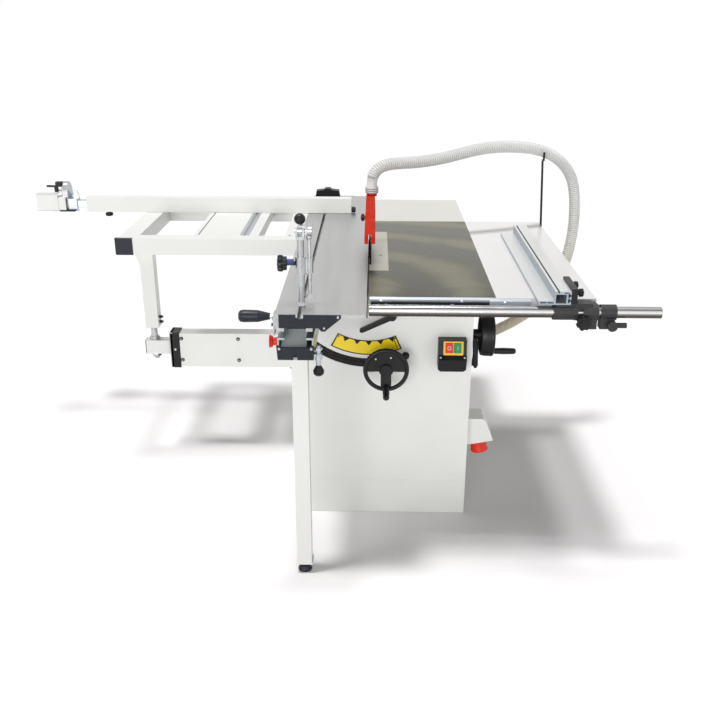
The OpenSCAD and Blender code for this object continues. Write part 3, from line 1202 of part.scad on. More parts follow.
// Clamp lever of the height shaft, behind the wheel
module height_lock() color("black") difference() {
    union() {
        bar_y(17, shaft_x, panel_y - 44, panel_y - 24, shaft_z);
        hull() {
            bar_y(8, shaft_x, panel_y - 42, panel_y - 30, shaft_z, $fn = HULL_FN);
            bar_y(5, shaft_x + 58, panel_y - 42, panel_y - 32, shaft_z + 36, $fn = HULL_FN);
        }
        translate([shaft_x + 62, panel_y - 48, shaft_z + 39]) sphere(r = 13);
    }
    bar_y(shaft_r + fit, shaft_x, panel_y - 50, panel_y, shaft_z);
}

module tilt_handwheel() color("black") {
    bar_x(shaft_r, blade_x - 24, side_wheel_x + 30, tilt_y, tilt_z);
    translate([blade_x - 20, tilt_y, tilt_z]) rotate([0, 90, 0]) worm(tilt_worm_r, 40);
    translate([side_wheel_x - 8, tilt_y, tilt_z]) rotate([90, 0, 90]) handwheel();
    bar_x(18, side_x + 3, side_wheel_x, tilt_y, tilt_z);
    bar_x(11, side_wheel_x + 12, side_wheel_x + 31, tilt_y, tilt_z - crank_r);
    bar_x(4, side_wheel_x + 12, side_wheel_x + 19 + grip_l, tilt_y, tilt_z - crank_r);
}
module tilt_grip() color("black") translate([side_wheel_x + 31 + slip, tilt_y, tilt_z - crank_r])
    rotate([0, 90, 0]) crank_grip();

// Long lever on the front panel that locks the tilt
lever_x = 16;
lever_z = table_h - 122;
module tilt_lever() color("black") {
    bar_y(14, lever_x, panel_y - 30, panel_y - slip, lever_z);
    hull() {
        bar_y(9, lever_x - 8, panel_y - 30, panel_y - 20, lever_z - 4, $fn = HULL_FN);
        bar_y(8, lever_x - 96, panel_y - 36, panel_y - 28, lever_z - 44, $fn = HULL_FN);
    }
}
// Small lever under the tilt wheel's hub
brake_y = tilt_y - 32;
module brake_lever() color("black") {
    bar_x(9, side_x + slip, side_x + 22, brake_y, tilt_z - 6);
    hull() {
        bar_x(7, side_x + 16, side_x + 24, brake_y, tilt_z - 14, $fn = HULL_FN);
        bar_x(6, side_x + 10, side_x + 18, brake_y, tilt_z - 96, $fn = HULL_FN);
    }
}

// Carriage casting that runs on the guide tube
sleeve_r = tube_d / 2 + 6;
carriage_x0 = rip_fence_x + 46;
carriage_x1 = carriage_x0 + 130;
module fence_carriage() color("dimgray") difference() {
    union() {
        bar_x(sleeve_r, carriage_x0, carriage_x0 + 70, tube_y, tube_z);
        hull() {
            bar_x(sleeve_r + 1, carriage_x0 + 84, carriage_x1, tube_y, tube_z, $fn = HULL_FN);
            block(carriage_x0 + 84, carriage_x1 - 4, tube_y - 8, tube_y + 26, tube_z + 8, table_h - 2);
        }
        block(carriage_x0 + 60, carriage_x0 + 100, tube_y - 16, tube_y + 16, tube_z - 20, table_h + 4);
        block(carriage_x0 + 4, carriage_x0 + 112, tube_y - 14, tube_y + 20, table_h - 6, table_h + 4);
        bar_y(11, star_x, star_y, tube_y - 8, star_z);
        // Lug that goes down behind the star knob
        block(carriage_x0 + 106, carriage_x1 - 2, tube_y - 14, tube_y + 12, tube_z - 48, tube_z);
    }
    bar_x(tube_d / 2 + fit, carriage_x0 - END, carriage_x1 + END, tube_y, tube_z);
    block(rip_fence_x, fence_x1 + slip, slide_y0, 0, table_h - 1, table_h + 20);
}
star_x = carriage_x0 + 84;
star_y = tube_y - sleeve_r - 4;
star_z = tube_z - 22;
module star_knob() color("black") translate([star_x, star_y, star_z]) rotate([90, 0, 0]) {
    translate([0, 0, 2]) lobed_knob(21, 14, 7);
    translate([0, 0, slip]) cylinder(r = 9, h = 4);
}
micro_x = carriage_x1 + 6;
module micro_clamp() color("dimgray") difference() {
    union() {
        bar_x(sleeve_r, micro_x, micro_x + 46, tube_y, tube_z);
        block(micro_x, micro_x + 42, tube_y - 18, tube_y + 10, tube_z - 46, tube_z);
        bar_x(8, micro_x + 30, micro_x + 78, tube_y - 12, tube_z - 36);
        bar_y(15, micro_x + 34, tube_y - 32, tube_y - 18, tube_z - 34);
    }
    bar_x(tube_d / 2 + fit, micro_x - END, micro_x + 60, tube_y, tube_z);
    // Slot of the pinch clamp
    block(micro_x - END, micro_x + 43, tube_y - 3, tube_y + 3, tube_z - 60, tube_z);
}

// Rip fence: low flange on the left, box chamber, two slots on its right side
box_w = 47;
rip_fence_y0 = tube_y - 15;
module rip_fence() color("lightsteelblue") {
    x0 = rip_fence_x;
    y0 = rip_fence_y0;
    y1 = rip_fence_y0 + rip_fence_l;
    z0 = table_h + slip;
    z1 = table_h + rip_fence_h;
    difference() {
        along_y([[x0, z0], [fence_x1, z0], [fence_x1, z1], [fence_x1 - box_w, z1],
            [fence_x1 - box_w, z0 + 12], [x0 + 2, z0 + 11], [x0, z0 + 9]], y0, y1);
        block(fence_x1 - box_w + 3, fence_x1 - 14, y0 - END, y1 + END, z0 + 4, z1 - 9);
        for (x = [x0 + 4, x0 + 25]) block(x, x + 18, y0 - END, y1 + END, z0 + 4, z0 + 8);
        // T-slots: one in the top, two in the right side
        block(fence_x1 - box_w + 8, fence_x1 - box_w + 13, y0 - END, y1 + END, z1 - 5, z1 + END);
        block(fence_x1 - 20, fence_x1 - 8, y0 - END, y1 + END, z1 - 6, z1 - 3);
        for (z = [z0 + 6, z0 + 21]) {
            block(fence_x1 - 9, fence_x1 - 4, y0 - END, y1 + END, z, z + 12);
            block(fence_x1 - 6, fence_x1 + END, y0 - END, y1 + END, z + 3.5, z + 8.5);
        }
    }
}
// Black bracket that carries the fence, with two screws through its side
hold_x = fence_x1 + slip;
module fence_bracket() color("black") {
    block(hold_x, hold_x + 18, rip_fence_y0 + 2, rip_fence_y0 + 132, table_h + 4 + slip, table_h + rip_fence_h + 7);
}
module bracket_knob(y) color("black") translate([hold_x + 18 + slip, rip_fence_y0 + y, table_h + 28])
    rotate([0, 90, 0]) {
        cylinder(r = 6, h = 9);
        translate([0, 0, 9]) lobed_knob(12, 11, 6);
    }
module bracket_knob_1() bracket_knob(30);
module bracket_knob_2() bracket_knob(104);

module index_plunger() color("black") {
    bar_z(4, plunger_x, plunger_y, plunger_z - 66, plunger_z - 18);
    translate([plunger_x, plunger_y, plunger_z - 92]) rotate_extrude() polygon([[0, 0], [10, 0], [15, 5],
        [16, 14], [11, 24], [7, 30], [0, 30]]);
}
release_z = rail_z + 40;
release_y = slide_y0 + 44;
module release_knob() color("red") translate([rail_x0 - slip, release_y, release_z]) rotate([0, -90, 0]) {
    cylinder(r1 = 13, r2 = 11, h = 17);
    translate([0, 0, 17]) cylinder(r1 = 16, r2 = 19, h = 9);
}

cabinet();
front_leg();
slide_rail();
rail_caps();
fixed_brackets();
main_table();
table_insert();
extension_tables();
front_rail();
guide_tube();
switch_box();
machine_inlet();
dust_port();
hose_rod();
suction_hose();
ball_cage();
sliding_table();
carriage_caps();
carriage_fittings();
outrigger_frame();
edging_shoe();
fence_tube();
fence_end_knob();
fence_lock_knob();
fence_extension();
flip_stop();
clamp_bracket();
clamp_knob();
clamp_rod();
clamp_lever();
arm_outer();
arm_inner();
trunnion_frame();
riving_knife();
blade_hood();
hood_knob();
rise_arm();
saw_arbor();
saw_blade();
drive_belt();
motor();
motor_pulley();
rise_handwheel();
rise_grip();
height_lock();
tilt_handwheel();
tilt_grip();
tilt_lever();
brake_lever();
stop_button();
start_button();
fence_carriage();
star_knob();
micro_clamp();
rip_fence();
fence_bracket();
bracket_knob_1();
bracket_knob_2();
index_plunger();
release_knob();
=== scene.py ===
"""Looks of a sliding table saw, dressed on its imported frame.

Sizes in this file are millimetres and become metres when a mesh is laid.
Each new piece is a grid of points worked out with numpy.
"""

import bmesh
import bpy
import numpy as np
from mathutils import Matrix


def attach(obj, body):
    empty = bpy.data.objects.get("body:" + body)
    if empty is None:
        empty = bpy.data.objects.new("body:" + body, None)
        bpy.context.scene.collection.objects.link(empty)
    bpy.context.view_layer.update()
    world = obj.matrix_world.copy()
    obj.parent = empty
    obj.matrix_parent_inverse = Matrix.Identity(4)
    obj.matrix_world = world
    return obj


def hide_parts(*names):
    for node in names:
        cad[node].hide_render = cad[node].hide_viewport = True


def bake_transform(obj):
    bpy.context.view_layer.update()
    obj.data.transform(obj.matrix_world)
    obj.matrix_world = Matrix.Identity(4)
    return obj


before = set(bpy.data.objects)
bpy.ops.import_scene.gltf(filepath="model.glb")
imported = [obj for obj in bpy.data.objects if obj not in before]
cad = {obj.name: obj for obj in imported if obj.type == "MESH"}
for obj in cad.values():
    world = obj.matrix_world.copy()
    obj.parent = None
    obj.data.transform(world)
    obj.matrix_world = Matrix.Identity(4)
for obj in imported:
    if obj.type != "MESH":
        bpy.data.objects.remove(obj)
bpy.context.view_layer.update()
SCENE = bpy.context.scene
MM = 0.001

# Places that several pieces share
TOP = 860.0  # height of the table tops and of the tilt axis
BLADE_X = -58  # plane of the blade, which holds the tilt axis
SPIGOT = (-54, 180)  # axis of the hood's spigot and of the hose's first cuff
CLAMP_Y = -574  # axis of the clamp's column
PIN_Y = 215  # axis of the threaded pin of the swing arm


# Camera

CAMERA_AT = (-0.042, -2.936, 1.648)
CAMERA_PITCH, CAMERA_YAW, CAMERA_ROLL = 22.09, -0.97, -0.16
CAMERA_SENSOR, CAMERA_FOCAL, CAMERA_REACH = 36.0, 43.24, 60.0


def aim_camera():
    """The camera stands before the saw, 1648 mm up, and looks down by 22 degrees."""
    pitch, yaw, roll = np.radians([CAMERA_PITCH, CAMERA_YAW, CAMERA_ROLL])
    ahead = np.array([np.sin(yaw) * np.cos(pitch), np.cos(yaw) * np.cos(pitch), -np.sin(pitch)])
    right = np.array([np.cos(yaw), -np.sin(yaw), 0.0])
    down = np.cross(ahead, right)
    side = np.cos(roll) * right + np.sin(roll) * down
    below = -np.sin(roll) * right + np.cos(roll) * down
    lens = bpy.data.cameras.new("camera")
    lens.sensor_width, lens.lens, lens.clip_end = CAMERA_SENSOR, CAMERA_FOCAL, CAMERA_REACH
    camera = bpy.data.objects.new("camera", lens)
    SCENE.collection.objects.link(camera)
    turn = np.eye(4)
    turn[:3, 0], turn[:3, 1], turn[:3, 2] = side, -below, -ahead
    turn[:3, 3] = CAMERA_AT
    camera.matrix_world = Matrix(turn.tolist())
    SCENE.camera = camera


aim_camera()


# Shapes

AXES = {"x": (1, 2, 0), "y": (2, 0, 1), "z": (0, 1, 2)}
MERGE, THINNEST = 2e-6, 1e-6  # metres, for points that coincide and for edges without length
BEVEL_STEPS, BEVEL_FROM = 2, 0.6  # the second in radians between two faces


def grid_faces(rows, columns, around_rows):
    """Corners of the faces between neighbouring rows and columns of a grid; columns close to a ring."""
    u = np.arange(rows if around_rows else rows - 1)[:, None]
    v = np.arange(columns)[None, :]
    un, vn = (u + 1) % rows, (v + 1) % columns
    corners = [u * columns + v, un * columns + v, un * columns + vn, u * columns + vn]
    return np.stack(corners, -1).reshape(-1, 4)


def lay(name, grids, body, finish, ends=True, loop=False, bevel=0.0, angle=32.0):
    """One piece from one or more grids of points; rows run along it, columns go round it."""
    points, faces = [], []
    for grid in grids if isinstance(grids, list) else [grids]:
        grid = np.asarray(grid, float)
        rows, columns = grid.shape[:2]
        first = len(points)
        points.extend(grid.reshape(-1, 3) * MM)
        faces.extend((grid_faces(rows, columns, loop) + first).tolist())
        if ends and not loop:
            faces.append([first + k for k in range(columns)])
            faces.append([first + (rows - 1) * columns + k for k in range(columns)][::-1])
    mesh = bpy.data.meshes.new(name)
    mesh.from_pydata([tuple(p) for p in points], [], faces)
    work = bmesh.new()
    work.from_mesh(mesh)
    bmesh.ops.remove_doubles(work, verts=work.verts, dist=MERGE)
    bmesh.ops.dissolve_degenerate(work, edges=work.edges, dist=THINNEST)
    bmesh.ops.recalc_face_normals(work, faces=work.faces)
    work.to_mesh(mesh)
    work.free()
    mesh.shade_smooth()
    mesh.set_sharp_from_angle(angle=np.radians(angle))
    piece = bpy.data.objects.new(name, mesh)
    SCENE.collection.objects.link(piece)
    piece.data.materials.append(finish)
    if bevel:
        edge = piece.modifiers.new("edge", "BEVEL")
        edge.width, edge.segments = bevel * MM, BEVEL_STEPS
        edge.limit_method, edge.angle_limit = "ANGLE", BEVEL_FROM
    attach(piece, body)
    return piece


def turned(axis, centre, profile, sides, sign=1):
    """Revolve: each (radius, height) of the profile goes round the axis; sign -1 turns it over."""
    radius, height = np.array(profile, float).T
    turn = np.linspace(0, 2 * np.pi, sides, endpoint=False)
    grid = np.zeros((len(radius), sides, 3))
    a, b, c = AXES[axis]
    grid[..., a] = radius[:, None] * np.cos(turn)
    grid[..., b] = radius[:, None] * np.sin(turn)
    grid[..., c] = sign * height[:, None]
    return grid + np.array(centre, float)


def extruded(axis, outline, low, high):
    """Outline in the two other axes, in their alphabetical order, carried from low to high."""
    outline = np.array(outline, float)
    a, b = [k for k in range(3) if k != "xyz".index(axis)]
    grid = np.zeros((2, len(outline), 3))
    grid[..., a], grid[..., b] = outline[:, 0], outline[:, 1]
    grid[0, :, "xyz".index(axis)], grid[1, :, "xyz".index(axis)] = low, high
    return grid


def slab(x0, x1, y0, y1, z0, z1):
    """Box carried up along Z."""
    return extruded("z", [(x0, y0), (x1, y0), (x1, y1), (x0, y1)], z0, z1)


def block(x0, x1, y0, y1, z0, z1):
    """Box carried along X."""
    return extruded("x", [(y0, z0), (y1, z0), (y1, z1), (y0, z1)], x0, x1)


def arc_band(r0, r1, a0, a1, y0, y1, steps=60):
    """Band about the tilt axis: (r sin a, top - r cos a) for a from a0 to a1, thick along Y."""
    turn = np.radians(np.linspace(a0, a1, steps))
    corners = np.array([(r0, y0), (r1, y0), (r1, y1), (r0, y1)], float)
    grid = np.zeros((steps, 4, 3))
    grid[..., 0] = BLADE_X + corners[None, :, 0] * np.sin(turn)[:, None]
    grid[..., 1] = corners[None, :, 1]
    grid[..., 2] = TOP - corners[None, :, 0] * np.cos(turn)[:, None]
    return grid


def flow(points, steps):
    """Catmull-Rom curve: 0.5(2b + (c-a)t + (2a-5b+4c-d)t2 + (3b-a-3c+d)t3) over each span."""
    p = np.array(points, float)
    p = np.vstack([p[0], p, p[-1]])
    t = np.linspace(0, 1, steps, endpoint=False)[None, :, None]
    a, b, c, d = (p[k : len(p) - 3 + k][:, None, :] for k in range(4))
    square, cube = 2 * a - 5 * b + 4 * c - d, 3 * b - a - 3 * c + d
    curve = 0.5 * (2 * b + (c - a) * t + square * t**2 + cube * t**3)
    return np.vstack([curve.reshape(-1, 3), p[-1]])


def resample(path, places):
    """Points of a path at given distances from its start."""
    run = np.concatenate([[0], np.cumsum(np.linalg.norm(np.diff(path, axis=0), axis=1))])
    return np.stack([np.interp(places, run, path[:, k]) for k in range(3)], -1)


def tube(path, radius, sides, level=(0, 1, 0)):
    """Round section about a path: centre + r(cos a u + sin a w), u and w square to the run."""
    path = np.array(path, float)
    ahead = np.gradient(path, axis=0)
    ahead /= np.linalg.norm(ahead, axis=1, keepdims=True)
    u = np.cross(np.array(level, float), ahead)
    u /= np.linalg.norm(u, axis=1, keepdims=True)
    w = np.cross(ahead, u)
    turn = np.linspace(0, 2 * np.pi, sides, endpoint=False)
    radius = np.broadcast_to(radius, len(path))[:, None, None]
    across, along = np.cos(turn)[None, :, None] * u[:, None], np.sin(turn)[None, :, None] * w[:, None]
    return path[:, None] + radius * (across + along)


KNOB_RINGS = np.array([
    (0, 0), (0.55, 0), (0.88, 0.02), (0.97, 0.1), (1, 0.25), (1, 0.7),
    (0.96, 0.86), (0.86, 0.96), (0.6, 1.0), (0.35, 1.0), (0.3, 0.93), (0, 0.93),
])
LOBE_DEPTH, LOBE_SIDES, LOBES_FROM = 0.13, 96, 0.9


def lobed(axis, centre, radius, height, lobes, sign):
    """Knob whose rim waves: r = R(1 - depth + depth cos(lobes a)), with rounded shoulders."""
    turn = np.linspace(0, 2 * np.pi, LOBE_SIDES, endpoint=False)
    wave = 1 - LOBE_DEPTH + LOBE_DEPTH * np.cos(lobes * turn)
    out, up = KNOB_RINGS[:, 0][:, None], KNOB_RINGS[:, 1][:, None]
    even = np.clip(out / LOBES_FROM, 0, 1) ** 3
    spread = out * (even * wave[None, :] + (1 - even)) * radius
    grid = np.zeros((len(KNOB_RINGS), LOBE_SIDES, 3))
    a, b, c = AXES[axis]
    grid[..., a], grid[..., b] = spread * np.cos(turn), spread * np.sin(turn)
    grid[..., c] = sign * up * height
    return grid + np.array(centre, float)


SCREW_RINGS = ((0, 0), (1, 0), (1, 0.35), (0.85, 0.7), (0.5, 0.85), (0.42, 0.85), (0.4, 0.3), (0, 0.3))


def pan_head(centre, radius):
    """Domed screw head that faces the operator, with a socket sunk in its crown."""
    return turned("y", centre, [(r * radius, h * radius) for r, h in SCREW_RINGS], 24, -1)


# Finishes


def linear(red, green, blue):
    """Written 0-255 colour as light."""
    c = np.array([red, green, blue]) / 255.0
    return tuple(np.where(c <= 0.04045, c / 12.92, ((c + 0.055) / 1.055) ** 2.4)) + (1.0,)


COAT_ROUGHNESS = 0.2
NOISE_LOW, NOISE_HIGH = 0.3, 0.7


class Finish:
    """A surface built node by node around one shader."""

    def __init__(self, name, roughness, metallic=0.0, coat=0.0, specular=0.5):
        self.material = bpy.data.materials.new(name)
        self.material.use_nodes = True
        self.nodes, self.links = self.material.node_tree.nodes, self.material.node_tree.links
        self.shader = self.nodes["Principled BSDF"]
        self.set("Roughness", roughness)
        self.set("Metallic", metallic)
        self.set("Coat Weight", coat)
        self.set("Coat Roughness", COAT_ROUGHNESS)
        self.set("Specular IOR Level", specular)
        self.place = self.nodes.new("ShaderNodeTexCoord").outputs["Object"]

    def set(self, socket, value):
        """Constant on the shader's own socket."""
        self.shader.inputs[socket].default_value = value

    def add(self, kind, inputs=(), **settings):
        """New node; each of its inputs is a value or another node's socket."""
        made = self.nodes.new("ShaderNode" + kind)
        for key, value in settings.items():
            setattr(made, key, value)
        for key, value in dict(inputs).items():
            if isinstance(value, bpy.types.NodeSocket):
                self.links.new(value, made.inputs[key])
            else:
                made.inputs[key].default_value = value
        return made

    def stretch(self, x, y, z):
        return self.add("Mapping", {"Vector": self.place, "Scale": (x, y, z)}).outputs["Vector"]

    def part(self, vector, letter):
        """X, Y or Z of a vector."""
        return self.add("SeparateXYZ", {"Vector": vector}).outputs[letter]

    def normal_z(self):
        """How far the surface looks up, -1..1."""
        return self.part(self.add("NewGeometry").outputs["Normal"], "Z")

    def mix(self, share, first, second):
        return self.add("Mix", {0: share, 2: first, 3: second}, data_type="FLOAT").outputs[0]

    def product(self, first, second):
        """Two colours multiplied."""
        inputs = {0: 1.0, 6: first, 7: second}
        return self.add("Mix", inputs, data_type="RGBA", blend_type="MULTIPLY").outputs[2]

    def noise(self, scale, detail=4.0, rough=0.55, vector=None, distortion=0.0):
        inputs = {"Scale": scale, "Detail": detail, "Roughness": rough, "Distortion": distortion}
        return self.add("TexNoise", {"Vector": vector or self.place, **inputs}).outputs["Fac"]

    def ramp(self, value, *stops):
        band = self.add("ValToRGB", {"Fac": value})
        marks = band.color_ramp.elements
        while len(marks) < len(stops):
            marks.new(0.5)
        for mark, (position, colour) in zip(marks, stops):
            mark.position, mark.color = position, colour
        return band.outputs["Color"]

    def remap(self, value, start, end, low=0.0, high=1.0):
        """Value from start..end taken to low..high."""
        limits = {"From Min": start, "From Max": end, "To Min": low, "To Max": high}
        return self.add("MapRange", {"Value": value, **limits}).outputs["Result"]

    def spread(self, value, low, high):
        """Noise, which keeps to about 0.3..0.7, taken to low..high."""
        return self.remap(value, NOISE_LOW, NOISE_HIGH, low, high)

    def join(self, value, socket):
        """Lead a value into the shader."""
        self.links.new(value, self.shader.inputs[socket])
        return self

    def relief(self, value, strength, distance):
        """Bump whose full height is a distance in metres."""
        bump = self.add("Bump", {"Height": value, "Strength": strength, "Distance": distance})
        return self.join(bump.outputs["Normal"], "Normal")


def shade(colour, factor):
    """Colour made lighter or darker, no lighter than white."""
    return tuple(min(c * factor, 1.0) for c in colour[:3]) + (1.0,)


def powder_coat(name, colour, roughness=0.42):
    """Sprayed paint: even tone with faint clouds and orange peel."""
    f = Finish(name, roughness, coat=0.15)
    cloud = f.noise(3.0, 3.0)
    f.join(f.ramp(cloud, (0.35, shade(colour, 0.965)), (0.65, shade(colour, 1.02))), "Base Color")
    f.join(f.spread(f.noise(14.0), roughness - 0.05, roughness + 0.06), "Roughness")
    return f.relief(f.noise(850.0, 2.0), 0.16, 0.0002).material


def moulded(name, colour, roughness=0.42, grain=1600.0, depth=0.22, specular=0.3):
    """Moulded plastic: fine spark-eroded grain, wiped shinier in places."""
    f = Finish(name, roughness, specular=specular)
    cloud = f.noise(26.0)
    f.join(f.ramp(cloud, (0.3, shade(colour, 0.85)), (0.7, shade(colour, 1.18))), "Base Color")
    f.join(f.spread(f.noise(40.0), roughness - 0.08, roughness + 0.1), "Roughness")
    return f.relief(f.noise(grain, 2.0), depth, 0.0002).material


def drawn_metal(name, colour, along, roughness, fine=420.0):
    """Extruded or brushed metal: fine and wide streaks run along one axis."""
    f = Finish(name, roughness, 0.9)
    narrow_scale = [fine * 0.012 if axis == along else fine for axis in "xyz"]
    wide_scale = [1.5 if axis == along else fine * 0.06 for axis in "xyz"]
    streak = f.noise(1.0, 5.0, 0.6, f.stretch(*narrow_scale))
    wide = f.noise(1.0, 3.0, 0.5, f.stretch(*wide_scale))
    tone = f.mix(0.4, streak, wide)
    f.join(f.ramp(tone, (0.3, shade(colour, 0.86)), (0.7, shade(colour, 1.1))), "Base Color")
    f.join(f.spread(streak, roughness - 0.07, roughness + 0.09), "Roughness")
    return f.relief(streak, 0.1, 0.00015).material


def plated(name, colour, roughness, spots=60.0):
    """Zinc or chrome plate with soft patches."""
    f = Finish(name, roughness, 0.95)
    f.join(f.ramp(f.noise(spots), (0.3, shade(colour, 0.88)), (0.7, shade(colour, 1.08))), "Base Color")
    f.join(f.spread(f.noise(spots * 1.7), roughness - 0.05, roughness + 0.08), "Roughness")
    return f.relief(f.noise(spots * 12), 0.04, 0.0001).material


def chrome_painted_reflection():
    """Chrome tube with painted reflections: light and dark stripes painted into its colour by the height of the
    surface's normal, as a bright room would leave them.
    """
    f = Finish("chrome_painted_reflection", 0.16, 0.85)
    level = f.remap(f.normal_z(), -1.0, 1.0)
    # painted reflection: dark where the tube faces down, a bright stripe just above its middle, a dark line and grey
    # on top
    painted_reflection_bands = (
        (0.0, linear(64, 60, 56)), (0.34, linear(84, 78, 72)), (0.48, linear(150, 146, 142)),
        (0.6, linear(240, 240, 240)), (0.72, linear(214, 214, 214)), (0.84, linear(96, 94, 92)),
        (0.93, linear(190, 190, 192)), (1.0, linear(150, 150, 152)),
    )
    f.join(f.ramp(level, *painted_reflection_bands), "Base Color")
    f.join(f.spread(f.noise(30.0), 0.12, 0.22), "Roughness")
    return f.material


def fence_painted_light():
    """Anodised fence with painted light: a painted highlight makes it near white where it looks up, and painted shade
    leaves its upright faces bluish.
    """
    f = Finish("anodised_fence_painted_light", 0.34, 0.45)
    # painted light: bluish grey on upright faces, near white on faces that look up
    f.join(f.ramp(f.normal_z(), (0.1, linear(160, 170, 180)), (0.8, linear(214, 215, 213))), "Base Color")
    f.join(f.spread(f.noise(60.0), 0.28, 0.4), "Roughness")
    return f.material


def cast_paint(name, colour):
    """Painted casting with a hammered skin."""
    f = Finish(name, 0.5, 0.25)
    cloud = f.noise(90.0, 5.0)
    f.join(f.ramp(cloud, (0.3, shade(colour, 0.75)), (0.7, shade(colour, 1.35))), "Base Color")
    return f.relief(f.noise(330.0, 4.0, 0.7), 0.5, 0.0006).material


def ground_iron():
    """Machined cast table: fine grinding lines under a curved, cloudy sheen."""
    f = Finish("ground_iron", 0.3, 0.88)
    line = f.noise(1.0, 5.0, 0.65, f.stretch(26, 620, 200))
    cloud = f.noise(3.4, 3.0, 0.5, None, 1.6)
    middle = f.add("Mapping", {"Vector": f.place, "Location": (0.12, 0.42, 0.0)}).outputs["Vector"]
    rings = {"Scale": 1.1, "Distortion": 3.5, "Detail": 2.0, "Detail Scale": 1.2, "Phase Offset": 1.0}
    sweep = f.add("TexWave", {"Vector": middle, **rings}, wave_type="RINGS", rings_direction="Z").outputs["Fac"]
    tone = f.mix(0.3, f.mix(0.5, cloud, sweep), line)
    tones = ((0.05, linear(50, 48, 30)), (0.5, linear(72, 69, 46)), (0.95, linear(118, 115, 92)))
    f.join(f.ramp(f.spread(tone, 0.0, 1.0), *tones), "Base Color")
    f.join(f.spread(tone, 0.24, 0.36), "Roughness")
    return f.relief(line, 0.08, 0.0001).material


CAST_TABLE_EDGE = 0.3179  # metres, where the cast table meets the right-hand sheet


def two_tone_sheet():
    """Extension sheets: white on the right of the cast table, pale grey behind it."""
    f = Finish("two_tone_sheet", 0.33, coat=0.25)
    x = f.part(f.place, "X")
    right = f.add("Math", {0: x, 1: CAST_TABLE_EDGE}, operation="GREATER_THAN").outputs[0]
    cloud = f.ramp(f.noise(2.2, 3.0), (0.35, (0.94, 0.94, 0.94, 1)), (0.65, (1, 1, 1, 1)))
    tones = {0: right, 6: linear(206, 205, 198), 7: linear(224, 222, 221)}
    f.join(f.product(f.add("Mix", tones, data_type="RGBA").outputs[2], cloud), "Base Color")
    return f.relief(f.noise(850.0, 2.0), 0.1, 0.0002).material


# dusty tone below the first height, painted shade on the top above the second
DUSTY_BELOW, PAINTED_SHADE_ABOVE = 0.62, 1.08  # metres above the floor


def clear_hose():
    """Milky plastic hose: warmer with dust low down, a little darker at its top as painted shade, and darker in the
    valleys between its ribs.
    """
    f = Finish("clear_hose", 0.3, coat=0.3)
    height = f.remap(f.part(f.place, "Z"), DUSTY_BELOW, PAINTED_SHADE_ABOVE)
    # dust makes the bottom warmer; the last stop is painted shade on the top
    tones = (
        (0.0, linear(224, 214, 190)), (0.35, linear(246, 245, 241)),
        (0.8, linear(246, 246, 245)), (1.0, linear(234, 234, 233)),
    )
    rib = f.add("Attribute", attribute_name="rib").outputs["Fac"]
    # the valleys between the ribs darker, the crests and the cuffs white
    dark_rings = f.ramp(rib, (0.0, linear(180, 178, 174)), (0.4, linear(246, 246, 245)), (1.0, (1, 1, 1, 1)))
    f.join(f.product(f.ramp(height, *tones), dark_rings), "Base Color")
    f.set("Transmission Weight", 0.22)
    f.set("IOR", 1.2)
    return f.relief(f.noise(160.0), 0.1, 0.0003).material


white = powder_coat("white_powder", linear(229, 229, 226))
iron = ground_iron()
sheets = two_tone_sheet()
alu = drawn_metal("brushed_aluminium", linear(174, 174, 173), "y", 0.36)
alu_x = drawn_metal("rail_aluminium", linear(190, 196, 202), "x", 0.3)
anodised = fence_painted_light()
bright_rail = drawn_metal("galvanised_rail", linear(176, 184, 188), "y", 0.3, 60.0)
insert_steel = drawn_metal("insert_steel", linear(182, 179, 168), "x", 0.36)
chrome = chrome_painted_reflection()
cuff_white = moulded("cuff_white", linear(214, 213, 211), 0.4)
track_tone = drawn_metal("track_grey", linear(150, 150, 160), "y", 0.4)
tray_sheet = powder_coat("galvanised_sheet", linear(196, 203, 205), 0.34)
zinc = plated("zinc", linear(188, 190, 190), 0.3)
cast_alu = plated("satin_fittings", linear(184, 186, 188), 0.22, 34.0)
blade_tone = plated("blade_teeth", linear(58, 58, 60), 0.34, 18.0)
steel = plated("blade_steel", linear(176, 176, 174), 0.26, 18.0)
grey_cast = cast_paint("grey_casting", linear(38, 38, 39))
machine_grey = powder_coat("machine_grey", linear(92, 96, 98), 0.5)
black = moulded("black_plastic", linear(15, 15, 17))
navy = moulded("navy_plastic", linear(24, 28, 38), 0.38)
rubber = moulded("rubber", linear(22, 22, 22), 0.7, 700.0, 0.4)
black_paint = moulded("black_paint", linear(24, 24, 25), 0.32, 500.0, 0.08)
red = moulded("red_plastic", linear(182, 38, 16), 0.5, 900.0, 0.06, specular=0.08)
knob_red = moulded("knob_red", linear(222, 50, 30), 0.36)
green = moulded("button_green", linear(22, 146, 78), 0.3)
yellow = powder_coat("yellow_plate", linear(252, 220, 28), 0.4)
amber = powder_coat("amber_plate", linear(236, 188, 34), 0.4)
blue = moulded("blue_spacer", linear(44, 60, 122), 0.4)
ink = moulded("ink", linear(28, 26, 18), 0.5)
mark_white = moulded("mark_white", linear(230, 200, 190), 0.5)
clear = clear_hose()

